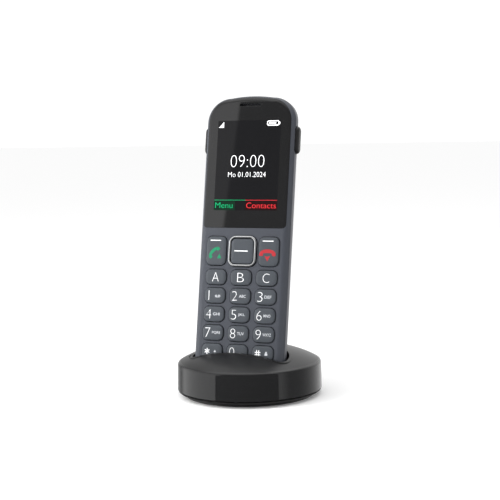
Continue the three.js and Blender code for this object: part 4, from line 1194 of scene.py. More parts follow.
@dataclass
class Cradle:
    """The round charging cradle: cover, base plate, foot, inlet, pins and what is inside."""

    rim_round: float = 1.5
    rim_slope: float = 29.1  # degrees below level where the dome meets the rim
    crown: float = 25.0  # height of the dome's middle, before the pocket is cut
    edge_radius: float = 34.5  # where the dome comes down to the rim's height
    rim_height: float = 17.6
    round_share: float = 0.7  # of the dome's fall that grows with the square of the radius
    low_wall: float = 3.4  # lower edge of the outer wall
    wall_draft: float = 0.3
    pocket_middle: tuple[float, float] = (0.0, -4.0)
    pocket_under: float = 0.8  # how far the pocket's floor is under the handset
    side_gap: float = 1.2
    front_gap: float = 1.6
    back_gap: float = 0.8
    cover_wall: float = 1.8
    lip_round: float = 0.55
    wall_edge: float = 0.5
    rays: int = 192
    post_high: float = 18.9
    bore_room: float = 0.6
    base_floor: float = 2.6  # top of the base plate
    base_rim: float = 1.2  # thickness of the plate's upright rim
    plinth_inset: float = 3.9
    hub_radius: float = 19.5  # of the shallow recess under the plate
    hub_height: float = 0.8
    foot_width: float = 4.5
    screw_sink: float = 1.7
    body: str = "cradle"
    high: Vector = field(init=False)
    middle: Vector = field(init=False)
    pocket_floor: float = field(init=False)

    def __post_init__(self) -> None:
        """Reads the cover's outermost corner and places the pocket under the handset."""
        self.high = FRAMES.box("cradle_cover", FRAMES.table)[1]
        self.pocket_floor = FORM.low - self.pocket_under
        self.middle = Vector(self.pocket_middle)

    def dome(self, r: float) -> float:
        """Height of the dome at a radius: shallow in the middle and steeper to the rim."""
        t = r / self.edge_radius
        fall = self.round_share * t**2 + (1 - self.round_share) * t**4
        return self.crown - (self.crown - self.rim_height) * fall

    def pocket_outline(self) -> Outline:
        """Section of the pocket across the handset's axis: x and depth.

        Returns:
            The points in order.
        """
        corner_steps, back_steps, front_steps = 24, 120, 60
        half = FORM.half_width + self.side_gap
        edge = FORM.face_edge + self.side_gap
        front, back = -self.front_gap, FORM.depth + self.back_gap
        points = arc((half - edge, front + edge), edge, -90, 0, corner_steps)
        for i in range(1, back_steps):
            turn = math.pi * i / back_steps
            depth = FORM.side_depth + (back - FORM.side_depth) * math.sin(turn)
            points.append(Vector((half * math.cos(turn), depth)))
        points += arc((edge - half, front + edge), edge, 180, 270, corner_steps)
        flat = half - edge
        points += [Vector((-flat + 2 * flat * i / front_steps, front)) for i in range(1, front_steps)]
        return points

    def on_dome(self, x: float, depth: float) -> Vector:
        """The point of the dome over a point of the pocket's section, found step by step.

        Args:
            x: the point's place across the handset.
            depth: its depth.

        Returns:
            The place on the dome.
        """
        rounds = 12
        sin, cos = math.sin(FRAMES.lean), math.cos(FRAMES.lean)
        foot = FRAMES.foot / MM
        along = self.crown
        for _ in range(rounds):
            y = foot + along * sin + depth * cos
            along = (self.dome(math.hypot(x, y)) + depth * sin) / cos
        return Vector((x, foot + along * sin + depth * cos, along * cos - depth * sin))

    def pocket_ring(self) -> list[Vector]:
        """The pocket's edge on the dome.

        Returns:
            One point for each ray from the pocket's middle.
        """
        dense = []
        steps = 6
        outline = self.pocket_outline()
        for a, b in zip(outline, outline[1:] + outline[:1]):
            dense += [self.on_dome(*a.lerp(b, i / steps)) for i in range(steps)]
        ring = []
        for k in range(self.rays):
            turn = math.tau * k / self.rays
            ray = Vector((math.cos(turn), math.sin(turn)))
            ring.append(max(dense, key=lambda p: (p.xy - self.middle).normalized().dot(ray)))
        return ring

    def wall_section(self, slope: float) -> list[tuple[float, float]]:
        """Section of the rim's rounding, the outer wall and its lower edge, from the top down.

        Args:
            slope: how far round the rim's rounding starts, in radians.

        Returns:
            Its points as radius and height.
        """
        rim_steps, edge_steps = 6, 3
        top_radius = self.high.x - self.wall_draft
        rim_r = top_radius - self.rim_round * (1 - math.cos(slope))
        centre_z = self.dome(rim_r) - self.rim_round * math.sin(slope)
        section = []
        for i in range(1, rim_steps + 1):
            turn = slope * (1 - i / rim_steps)
            r = top_radius - self.rim_round * (1 - math.cos(turn))
            section.append((r, centre_z + self.rim_round * math.sin(turn)))
        section.append((self.high.x, self.low_wall + self.wall_edge))
        for i in range(1, edge_steps + 1):
            turn = math.radians(90 * i / edge_steps)
            r = self.high.x - self.wall_edge * (1 - math.cos(turn))
            section.append((r, self.low_wall + self.wall_edge * (1 - math.sin(turn))))
        return section

    def cover_skin(self) -> Solid:
        """The cover's outer skin: dome, rim, wall, pocket walls and floor.

        Returns:
            The bmesh, open under the wall.
        """
        bm = bmesh.new()
        dome_cuts, lip_steps, lip_share = 16, 4, 0.12
        slope = math.radians(90 - self.rim_slope)
        rim_r = self.high.x - self.wall_draft - self.rim_round * (1 - math.cos(slope))
        pocket = add_ring(bm, self.pocket_ring())
        rim_points = []
        for k in range(self.rays):
            turn = math.tau * k / self.rays
            reach = self.ray_to_circle(turn, rim_r)
            rim_points.append(Vector((reach.x, reach.y, self.dome(rim_r))))
        rim = add_ring(bm, rim_points)
        made = bmesh.ops.bridge_loops(bm, edges=pocket + rim)
        spokes = [e for e in made["edges"] if e not in pocket and e not in rim]
        bmesh.ops.subdivide_edges(bm, edges=spokes, cuts=dome_cuts, use_grid_fill=True)
        for v in bm.verts:
            v.co.z = self.dome(v.co.xy.length)
        edges = rim
        for r, z in self.wall_section(slope):
            edges = self.extend(bm, edges, lambda co, r=r, z=z: Vector((*(co.xy.normalized() * r), z)))
        axis = Vector((0, math.sin(FRAMES.lean), math.cos(FRAMES.lean)))
        foot_y = FRAMES.foot / MM

        def to_floor(co: Vector) -> Vector:
            """The point straight below along the handset's axis, on the pocket's floor."""
            along = (co - Vector((0, foot_y, 0))).dot(axis)
            return co - axis * (along - self.pocket_floor)

        low_edges = pocket
        for share in (lip_share, 1.0):
            low_edges = self.extend(bm, low_edges, lambda co, s=share: co.lerp(to_floor(co), s))
        bmesh.ops.edgeloop_fill(bm, edges=low_edges)
        lips = [e for e in [*pocket, *low_edges] if e.is_valid]
        soften(bm, lips, self.lip_round, lip_steps, True)
        bmesh.ops.recalc_face_normals(bm, faces=bm.faces)
        return bm

    def ray_to_circle(self, turn: float, radius: float) -> Vector:
        """Where a ray from the pocket's middle meets a circle about the origin.

        Args:
            turn: the ray's way, in radians.
            radius: the circle's radius.

        Returns:
            The place, seen from above.
        """
        ray = Vector((math.cos(turn), math.sin(turn)))
        along = self.middle.dot(ray)
        reach = -along + math.sqrt(along**2 - self.middle.length_squared + radius**2)
        return self.middle + ray * reach

    @staticmethod
    def extend(
        bm: Solid, edges: list[bmesh.types.BMEdge], move: Callable[[Vector], Vector]
    ) -> list[bmesh.types.BMEdge]:
        """Extrudes a ring of edges and moves the new ring.

        Args:
            bm: the bmesh.
            edges: the ring.
            move: gives the new place of a point.

        Returns:
            The new ring.
        """
        grown = bmesh.ops.extrude_edge_only(bm, edges=edges)["geom"]
        for v in (g for g in grown if isinstance(g, bmesh.types.BMVert)):
            v.co = move(v.co)
        return [g for g in grown if isinstance(g, bmesh.types.BMEdge)]

    def cover(self) -> None:
        """Builds the cover: the skin with its wall thickness, screw posts, pin holes and inlet mouth."""
        skin = as_object("skin", self.cover_skin())
        wall = skin.modifiers.new("wall", "SOLIDIFY")
        wall.thickness = self.cover_wall
        wall.offset = -1
        wall.use_even_offset = True
        mesh = baked_mesh(skin)
        bm = bmesh.new()
        bm.from_mesh(mesh)
        bpy.data.meshes.remove(skin.data)
        bpy.data.meshes.remove(mesh)
        steps = []
        inlet_low, inlet_high = FRAMES.box("power_inlet", FRAMES.table)
        mouth = block(
            (inlet_low.x - FIT, inlet_low.y - FIT, 0.0),
            (inlet_high.x + FIT, inlet_high.y + FAR, inlet_high.z + FIT),
        )
        steps.append((Cut.REMOVE, mouth))
        for side in SIDES:
            low, high = FRAMES.box(f"charge_pin_{side}")
            centre = (low + high) / 2
            hole = rod((centre.x, centre.y, 0), (high.x - low.x) / 2 + FIT, 0, self.pocket_floor + 5)
            bmesh.ops.transform(hole, matrix=FRAMES.table.inverted() @ FRAMES.handset, verts=hole.verts)
            steps.append((Cut.REMOVE, hole))
        for i in BASE_SCREWS:
            low, high = FRAMES.box(f"cradle_screw_{i}", FRAMES.table)
            place = ((low.x + high.x) / 2, (low.y + high.y) / 2, 0)
            steps.append((Cut.JOIN, rod(place, POST, self.base_floor + FIT, self.post_high)))
            steps.append((Cut.REMOVE, rod(place, BORE, 0, high.z + self.bore_room)))
        bm = carve(bm, steps)
        settle("cradle_cover_shell", bm, self.body, CRADLE_SATIN, ["cradle_cover"], FRAMES.table, 38)

    def base(self) -> None:
        """Builds the base plate with its plinth, foot groove, screw wells and inlet notch."""
        low, high = FRAMES.box("cradle_base", FRAMES.table)
        ring = FRAMES.box("foot_ring", FRAMES.table)[1]
        wall_low = self.low_wall - FIT
        plinth = self.high.x - self.plinth_inset
        seat = self.high.x - self.cover_wall - FIT
        soft, shoulder = 0.15, 0.5
        profile = [
            (0.0, self.hub_height), (self.hub_radius - 0.3, self.hub_height),
            (self.hub_radius, self.hub_height - 0.1), (self.hub_radius, low.z + soft),
            (self.hub_radius + soft, low.z), (plinth - shoulder, low.z), (plinth - soft, low.z + soft),
            (plinth, low.z + shoulder), (plinth, low.z + 1.1), (plinth + 0.25, low.z + 1.3),
            (self.high.x - 1.2, wall_low - 0.9), (self.high.x - 0.45, wall_low - 0.35),
            (self.high.x - 0.3, wall_low - 0.1), (self.high.x - 0.4, wall_low),
            (seat, wall_low), (seat, high.z - 0.2), (seat - 0.2, high.z),
            (seat - self.base_rim + 0.2, high.z), (seat - self.base_rim, high.z - 0.2),
            (seat - self.base_rim, self.base_floor), (0.0, self.base_floor),
        ]
        bm = turned(profile, 160)
        inner, outer = ring.x - self.foot_width - FIT, ring.x + FIT
        top, under = ring.z + FIT, -2.0
        groove = [(inner, under), (outer, under), (outer, top), (inner, top), (inner, under)]
        steps = [(Cut.REMOVE, turned(groove))]
        for i in BASE_SCREWS:
            screw_low, screw_high = FRAMES.box(f"cradle_screw_{i}", FRAMES.table)
            place = ((screw_low.x + screw_high.x) / 2, (screw_low.y + screw_high.y) / 2, 0)
            head = (screw_high.x - screw_low.x) / 2
            steps.append((Cut.REMOVE, rod(place, BORE, under, self.base_floor + 1)))
            steps.append((Cut.REMOVE, rod(place, head + FIT, under, self.screw_sink)))
        inlet_low, inlet_high = FRAMES.box("power_inlet", FRAMES.table)
        notch = block(
            (inlet_low.x - FIT, self.high.x - 8, self.base_floor), (inlet_high.x + FIT, FAR, self.crown)
        )
        steps.append((Cut.REMOVE, notch))
        bm = carve(bm, steps)
        settle("cradle_base_plate", bm, self.body, CRADLE_MATT, ["cradle_base"], FRAMES.table, 34)

    def foot_ring(self) -> None:
        """Builds the rubber foot: a ring with rounded edges and fine tread grooves."""
        low, high = FRAMES.box("foot_ring", FRAMES.table)
        inner, outer = high.x - self.foot_width, high.x
        soft, sharp = 0.25, 0.1
        count, first, pitch = 4, 0.8, 0.9
        bottom = low.z + 0.18
        profile = [(inner, low.z + soft), (inner + soft, low.z)]
        for i in range(count):
            r = inner + first + i * pitch
            profile += [(r, low.z), (r + 0.15, bottom), (r + 0.35, bottom), (r + 0.5, low.z)]
        profile += [(outer - soft, low.z), (outer, low.z + soft), (outer, high.z - sharp)]
        profile += [(outer - sharp, high.z), (inner + sharp, high.z), (inner, high.z - sharp), profile[0]]
        settle("cradle_foot_ring", turned(profile, 128), self.body, RUBBER, ["foot_ring"], FRAMES.table)

    def screws(self) -> None:
        """Builds the three pan-head screws under the plate."""
        for i in BASE_SCREWS:
            node = f"cradle_screw_{i}"
            low, high = FRAMES.box(node, FRAMES.table)
            centre = (low + high) / 2
            bm = screw((centre.x, centre.y), (high.x - low.x) / 2, low.z, high.z)
            settle(f"{node}_steel", bm, self.body, STEEL, [node], FRAMES.table)

    def pins(self) -> None:
        """Builds the two sprung charging pins with domed tips."""
        soft, rise, steps = 0.1, 0.62, 8
        for side in SIDES:
            node = f"charge_pin_{side}"
            low, high = FRAMES.box(node)
            centre = (low + high) / 2
            r = (high.x - low.x) / 2
            shoulder = high.z - rise * r
            profile = [(0.0, low.z), (r - soft, low.z), (r, low.z + soft), (r, shoulder)]
            for i in range(1, steps):
                turn = math.radians(90 * i / steps)
                profile.append((r * math.cos(turn), shoulder + rise * r * math.sin(turn)))
            profile.append((0.0, high.z))
            bm = turned(profile, 40)
            bmesh.ops.translate(bm, vec=(centre.x, centre.y, 0), verts=bm.verts)
            settle(f"{node}_gold", bm, node, GOLD, [node])

    def build(self) -> None:
        """Builds every piece of the cradle."""
        self.cover()
        self.base()
        self.foot_ring()
        self.screws()
        self.pins()
        for node, finish in (
            ("power_inlet", SOCKET), ("pin_holder", SOCKET), ("charge_board", BOARD_GREEN),
            ("ballast_weight", STEEL),
        ):
            refined_copy(node, self.body, finish)


def screw(centre: Sequence[float], head: float, start: float, end: float) -> Solid:
    """An upright pan-head screw with its head at the start and a cross recess in it.

    Args:
        centre: its middle line's place.
        head: the head's radius.
        start: height of the head's face.
        end: height of the tip.

    Returns:
        The closed bmesh.
    """
    tall, turns, run_out, tip = 1.3, 7, 0.6, 0.4
    shank = head * 0.48
    root = shank * 0.86
    profile = [(0.0, start), (head * 0.72, start), (head * 0.93, start + 0.3 * tall)]
    profile += [(head, start + 0.7 * tall), (head, start + tall), (shank, start + tall)]
    pitch = (end - start - tall - run_out) / turns
    for i in range(turns):
        z = start + tall + pitch * i
        profile += [(root, z + 0.3 * pitch), (shank, z + 0.55 * pitch), (root, z + 0.85 * pitch)]
    profile += [(shank * 0.7, end - tip), (0.0, end)]
    bm = turned(profile, 48)
    arm, half, deep = head * 0.55, head * 0.12, 0.7
    cross = [
        (Cut.REMOVE, block((-arm, -half, start - 1), (arm, half, start + deep))),
        (Cut.REMOVE, block((-half, -arm, start - 1), (half, arm, start + deep))),
    ]
    bm = carve(bm, cross)
    bmesh.ops.translate(bm, vec=(centre[0], centre[1], 0), verts=bm.verts)
    return bm


# ---- handset shells


@dataclass
class KeyPlace:
    """Where one key of the front sits and how big it is."""

    node: str
    corner: float = 2.7

    def __post_init__(self) -> None:
        """Reads the key's box."""
        low, high = FRAMES.box(self.node)
        self.centre = ((low.x + high.x) / 2, (low.z + high.z) / 2)
        self.width, self.height = high.x - low.x, high.z - low.z
        self.front, self.back = low.y, high.y

    def outline(self, grow: float = 0.0) -> Outline:
        """The key's outline, grown on every side."""
        return rounded_rect(
            self.width + 2 * grow, self.height + 2 * grow, self.corner + grow, self.centre
        )


DIGIT_KEYS = ["a", "b", "c", "1", "2", "3", "4", "5", "6", "7", "8", "9", "star", "0", "hash"]
KEYS = {node: KeyPlace(node) for node in [f"key_{d}" for d in DIGIT_KEYS] + ["talk_key", "end_key"]}
NAV = KeyPlace("nav_ring", 3.6)
NAV_CENTRE = KeyPlace("nav_centre", 2.25)


@dataclass
class SideKey:
    """One of the two keys on the handset's sides: a pill in depth and along the handset."""

    node: str
    body: str
    side: int
    room: float = 0.4

    def __post_init__(self) -> None:
        """Reads the key's box."""
        low, high = FRAMES.box(self.node)
        self.depth, self.along = (low.y + high.y) / 2, (low.z + high.z) / 2
        self.width, self.length = high.y - low.y, high.z - low.z
        self.inner, self.outer = sorted((abs(low.x), abs(high.x)))

    def ring(self, grow: float, x: float) -> list[Vector]:
        """The pill's outline at a place across the handset, grown on every side."""
        flat = rounded_rect(
            self.width + 2 * grow, self.length + 2 * grow, self.width / 2 + grow,
            (self.depth, self.along), steps=12,
        )
        return [Vector((self.side * x, p.x, p.y)) for p in flat]

    def cutter(self) -> Solid:
        """Room for the key in both shells."""
        start, end = self.inner - 1, self.outer + 5
        return loft([self.ring(self.room, start), self.ring(self.room, end)])

    def build(self) -> None:
        """Builds the key: a pill with a domed top that ends in a flat."""
        crown, drawn, flat, steps, last = 1.35, 1.7, 2.2, 8, 88
        rings = [self.ring(0, self.inner), self.ring(0, self.outer - crown)]
        for i in range(1, steps + 1):
            turn = math.radians(last * i / steps)
            x = self.outer + crown * (math.sin(turn) - 1)
            rings.append(self.ring(drawn * (math.cos(turn) - 1), x))
        rings.append(self.ring(-flat, self.outer))
        settle(f"{self.node}_cap", loft(rings), self.body, SIDE_KEY, [self.node])


SIDE_KEYS = [SideKey("volume_rocker", "volume_rocker", 1), SideKey("side_button", "side_button", -1)]


@dataclass
class Shells:
    """The handset's front and rear shells and its battery cover."""

    seam: float = 2.25  # depth where the front shell ends
    shell_wall: float = 1.6
    key_gap: float = 0.25
    hole_flare: float = 0.16
    window_depth: float = 1.3
    window_room: float = 0.12
    display_ledge: float = 1.3
    mic_width: float = 3.0
    mic_height: float = 0.9
    mic_drop: float = 0.6
    cover_thickness: float = 1.2
    ledge: float = 1.4
    ledge_reach: float = 2.5
    cover_gap: float = 0.25
    cover_corner: float = 3.0
    bay_wall: float = 1.1
    head_sink: float = 1.6
    head_room: float = 2.7
    pad_mouth: float = 2.6
    body: str = "handset"

    def __post_init__(self) -> None:
        """Reads the rear shell's edge and the cover's box."""
        self.rear_edge = FRAMES.box("rear_shell")[0].y
        low, high = FRAMES.box("battery_cover")
        self.cover_half = high.x
        self.cover_low, self.cover_high = low.z, high.z

    def front(self) -> None:
        """Builds the front shell: a face with its key holes, window seat and display hole."""
        solid = FORM.front_solid(self.seam)
        steps: list[tuple[Cut, Solid]] = []
        for key in [*KEYS.values(), NAV]:
            hole = flared_cutter(
                lambda g, k=key: k.outline(self.key_gap + g), 0.0, THROUGH, self.hole_flare
            )
            steps.append((Cut.REMOVE, hole))
        steps.append((Cut.REMOVE, plate(WINDOW.outline(self.window_room), OUTSIDE, self.window_depth)))
        low, high = FRAMES.box("display_module")
        width, height = (side - 2 * self.display_ledge for side in (high.x - low.x, high.z - low.z))
        opening = rounded_rect(width, height, 0.8, (0, (low.z + high.z) / 2))
        steps.append((Cut.REMOVE, plate(opening, OUTSIDE, THROUGH)))
        steps.append((Cut.REMOVE, plate(WINDOW.earpiece(0.0), OUTSIDE, THROUGH)))
        steps.append((Cut.REMOVE, flared_cutter(self.mic_slot, 0.0, THROUGH, 0.15)))
        steps += [(Cut.REMOVE, key.cutter()) for key in SIDE_KEYS]
        bm = carve(solid, steps)
        settle("front_shell_face", bm, self.body, FACE_GRAIN, ["front_shell"])

    def mic_slot(self, grow: float) -> Outline:
        """The microphone slot's outline, grown on every side."""
        low, high = FRAMES.box("microphone")
        place = ((low.x + high.x) / 2, (low.z + high.z) / 2 - self.mic_drop)
        return rounded_rect(
            self.mic_width + 2 * grow, self.mic_height + 2 * grow, self.mic_height / 2 + grow, place
        )

    def cover_prism(self, grow: float, front: float) -> Solid:
        """The battery cover's outline run through the back.

        Args:
            grow: how far it is grown on every side.
            front: depth where it starts.

        Returns:
            The closed bmesh.
        """
        middle = (self.cover_low + self.cover_high) / 2
        outline = rounded_rect(
            2 * (self.cover_half + grow), self.cover_high - self.cover_low + 2 * grow,
            self.cover_corner + grow, (0, middle), steps=10,
        )
        return plate(outline, front, FORM.depth + BEHIND)

    def rear(self) -> None:
        """Builds the rear shell with its cover seat, battery bay, screw bosses and sound slots."""
        under = self.cover_thickness + FIT
        half_depth = FORM.depth / 2
        past = FORM.depth + BEHIND
        floor = FRAMES.box("circuit_board")[1].y + FIT
        bay_half = FRAMES.box("battery_cell_right")[1].x + FIT
        bay_low = FRAMES.box("battery_contact_left")[0].z - FIT
        bay_high = FRAMES.box("battery_bridge")[1].z + FIT
        wall = self.bay_wall
        inner = FORM.back_solid(0.0, under + self.ledge)
        ledge = carve(
            FORM.back_solid(0.5, under),
            [(Cut.REMOVE, inner), (Cut.KEEP_COMMON, self.cover_prism(self.ledge_reach, half_depth))],
        )
        side = bay_half + wall
        tray = carve(
            block((-side, floor, bay_low - wall), (side, FORM.depth, bay_high + wall)),
            [(Cut.KEEP_COMMON, FORM.back_solid(0.0, under))],
        )
        steps = [
            (Cut.REMOVE, FORM.back_solid(-1.0, self.shell_wall)),
            (Cut.REMOVE, self.cover_prism(self.cover_gap, half_depth)),
            (Cut.JOIN, ledge),
            (Cut.JOIN, tray),
        ]
        bores = []
        for side in SIDES:
            low, high = FRAMES.box(f"shell_screw_{side}")
            place = ((low.x + high.x) / 2, 0, (low.z + high.z) / 2)
            boss = rod(place, POST, floor, FORM.depth, Axis.Y)
            steps.append((Cut.JOIN, carve(boss, [(Cut.KEEP_COMMON, FORM.back_solid(0.0, under))])))
            bores.append((Cut.REMOVE, rod(place, BORE, 0, past, Axis.Y)))
            bores.append((Cut.REMOVE, rod(place, self.head_room, high.y - self.head_sink, past, Axis.Y)))
        bay = block((-bay_half, floor + wall, bay_low), (bay_half, past, bay_high))
        steps += [(Cut.REMOVE, bay), *bores]
        for side in SIDES:
            low, high = FRAMES.box(f"charge_pad_{side}")
            x, half = (low.x + high.x) / 2, (high.x - low.x) / 2 + FIT
            near, far = high.y + FIT - 2 * half, high.y + FIT
            mouth = block((x - half, near, FORM.low - 2), (x + half, far, FORM.low + self.pad_mouth))
            steps.append((Cut.REMOVE, mouth))
        steps += [(Cut.REMOVE, slot) for slot in self.sound_slots()]
        steps += [(Cut.REMOVE, key.cutter()) for key in SIDE_KEYS]
        bm = carve(FORM.back_solid(self.rear_edge, 0.0), steps)
        settle("rear_shell_body", bm, self.body, BACK_GRAIN, ["rear_shell"])

    def sound_slots(self) -> list[Solid]:
        """Cutters for the ringer's slots in the back.

        Returns:
            One closed bmesh for each slot.
        """
        low, high = FRAMES.box("ringer_speaker")
        middle = (low.z + high.z) / 2
        pitch, width, tall, count = 3.0, 12.0, 1.3, 4
        cutters = []
        for i in range(count):
            outline = rounded_rect(width, tall, tall / 2, (0, middle + (i - (count - 1) / 2) * pitch))
            cutters.append(plate(outline, FORM.depth / 2, FORM.depth + BEHIND))
        return cutters

    def battery_cover(self) -> None:
        """Builds the battery cover: the back's own skin with a thumb grip of fine ribs."""
        steps = [
            (Cut.REMOVE, FORM.back_solid(0.0, self.cover_thickness)),
            (Cut.KEEP_COMMON, self.cover_prism(0.0, FORM.depth / 2)),
        ]
        ribs, pitch, width, radius, lift, soft = 6, 1.6, 10.0, 0.62, 0.35, 0.5
        top = self.cover_high - 7.0
        for i in range(ribs):
            place = (0, FORM.depth + lift, top - i * pitch)
            groove = rod(place, radius, -width / 2, width / 2, Axis.X, soft, 20)
            steps.append((Cut.REMOVE, groove))
        bm = carve(FORM.back_solid(self.rear_edge, 0.0), steps)
        settle("battery_cover_skin", bm, "battery_cover", BACK_GRAIN, ["battery_cover"])

    def build(self) -> None:
        """Builds the three shell pieces."""
        self.front()
        self.rear()
        self.battery_cover()


# ---- window and screen


@dataclass
class Window:
    """The polished window over the display, with the earpiece slot, and what the display shows."""

    corner: float = 2.0
    gap: float = 0.15
    slot_width: float = 11.3
    slot_height: float = 1.2
    slot_place: float = 147.3
    panel_border: float = 2.1
    body: str = "handset"

    def __post_init__(self) -> None:
        """Reads the window and the display."""
        self.low, self.high = FRAMES.box("display_window")
        self.half = self.high.x + self.gap
        display_low, display_high = FRAMES.box("display_module")
        inset = Vector((self.panel_border, self.panel_border))
        self.screen_low = display_low.xz + inset
        self.screen_high = display_high.xz - inset

    def outline(self, grow: float) -> Outline:
        """The window's outline, which follows the top of the handset.

        Args:
            grow: how far it is grown on every side.

        Returns:
            The points in order.
        """
        border = FORM.high - self.high.z - self.gap
        half = self.half + grow
        top = FORM.top_corner - border + grow
        low = self.low.z - self.gap - grow
        high = self.high.z + self.gap + grow
        return FORM.outline(half, low, high, top, self.corner + grow)

    def earpiece(self, grow: float) -> Outline:
        """The earpiece slot's outline."""
        return rounded_rect(
            self.slot_width + 2 * grow, self.slot_height + 2 * grow, self.slot_height / 2 + grow,
            (0, self.slot_place),
        )

    def sheet(self) -> None:
        """Builds the window sheet, its face level with the shell and rounded with it."""
        solid = FORM.front_solid(self.high.y)
        steps = [
            (Cut.KEEP_COMMON, plate(self.outline(0.04), OUTSIDE, self.high.y)),
            (Cut.REMOVE, flared_cutter(self.earpiece, 0.0, THROUGH, 0.2)),
        ]
        sheet = carve(solid, steps)
        settle("display_window_sheet", sheet, self.body, WINDOW_BLACK, ["display_window"])

    def screen(self) -> None:
        """Builds the display module with its lit face, and the clock, icons and soft-key words on it."""
        refined_copy("display_module", self.body, SCREEN_BLACK)
        low, high = self.screen_low, self.screen_high
        face, panel_back = -0.02, 0.005
        panel = plate(rounded_rect(*(high - low), 0.3, (low + high) / 2, 3), face, panel_back)
        clock = merged([
            lettering("09:00", 6.0, -9.0, 116.0, face, 18.0, -0.03),
            lettering("Mo 01.01.2024", 2.5, -10.1, 111.0, face, 20.2, -0.018),
        ])
        line, line_height, half_line = 99.4, 0.2, (high.x - low.x) / 2
        patch_height, patch_thickness = 4.6, 0.02
        word_base, word_height, word_face = 95.4, 2.8, face - patch_thickness
        green = merged([
            mark(rounded_rect(half_line, line_height, 0.05, (low.x + half_line / 2, line), 2), face),
            lettering("Menu", word_height, -16.2, word_base, word_face, 9.4, -0.01),
        ])
        green_width, middle = 11.4, low.y + patch_height / 2
        green_patch = rounded_rect(green_width, patch_height, 0.1, (low.x + green_width / 2, middle), 2)
        red = merged([
            mark(rounded_rect(half_line, line_height, 0.05, (high.x - half_line / 2, line), 2), face),
            lettering("Contacts", word_height, 0.6, word_base, word_face, 15.8, -0.008),
        ])
        red_patch = rounded_rect(high.x, patch_height - 0.3, 0.1, (high.x / 2, middle), 2)
        for name, bm, finish in (
            ("screen_panel", panel, SCREEN_BLACK),
            ("screen_clock", clock, SCREEN_WHITE),
            ("screen_status", self.status_icons(face), SCREEN_WHITE),
            ("screen_menu_word", green, SCREEN_GREEN),
            ("screen_menu_patch", mark(green_patch, face, patch_thickness), SCREEN_DARK_GREEN),
            ("screen_contacts_word", red, SCREEN_RED),
            ("screen_contacts_patch", mark(red_patch, face, patch_thickness), SCREEN_DARK_RED),
        ):
            settle(name, bm, self.body, finish)

    def status_icons(self, face: float) -> Solid:
        """The signal triangle and the battery icon.

        Args:
            face: depth of the lit face.

        Returns:
            The marks as one bmesh.
        """
        foot, left, right, top = 136.0, -16.4, -13.8, 138.9
        signal = [Vector((left, foot)), Vector((right, foot)), Vector((right, top))]
        width, height, line = 6.5, 2.6, 0.45
        middle = (12.75, 137.9)
        outer = mark(rounded_rect(width, height, 0.9, middle, 4), face)
        inner = rounded_rect(width - 2 * line, height - 2 * line, 0.5, middle, 4)
        case = carve(outer, [(Cut.REMOVE, plate(inner, face - 1, face + 1))])
        fill = mark(rounded_rect(3.6, 0.8, 0.1, (middle[0] - 0.3, middle[1]), 3), face)
        tip = mark(rounded_rect(0.6, 1.2, 0.2, (middle[0] + width / 2 + 0.15, middle[1]), 3), face)
        return merged([mark(signal, face), case, fill, tip])

    def build(self) -> None:
        """Builds the window and the screen."""
        self.sheet()
        self.screen()


WINDOW = Window()


# ---- keypad


class Legend(Enum):
    """What is printed beside each digit."""

    ONE = ("1", "oo")
    TWO = ("2", "ABC")
    THREE = ("3", "DEF")
    FOUR = ("4", "GHI")
    FIVE = ("5", "JKL")
    SIX = ("6", "MNO")
    SEVEN = ("7", "PQRS")
    EIGHT = ("8", "TUV")
    NINE = ("9", "WXYZ")
    ZERO = ("0", "_")


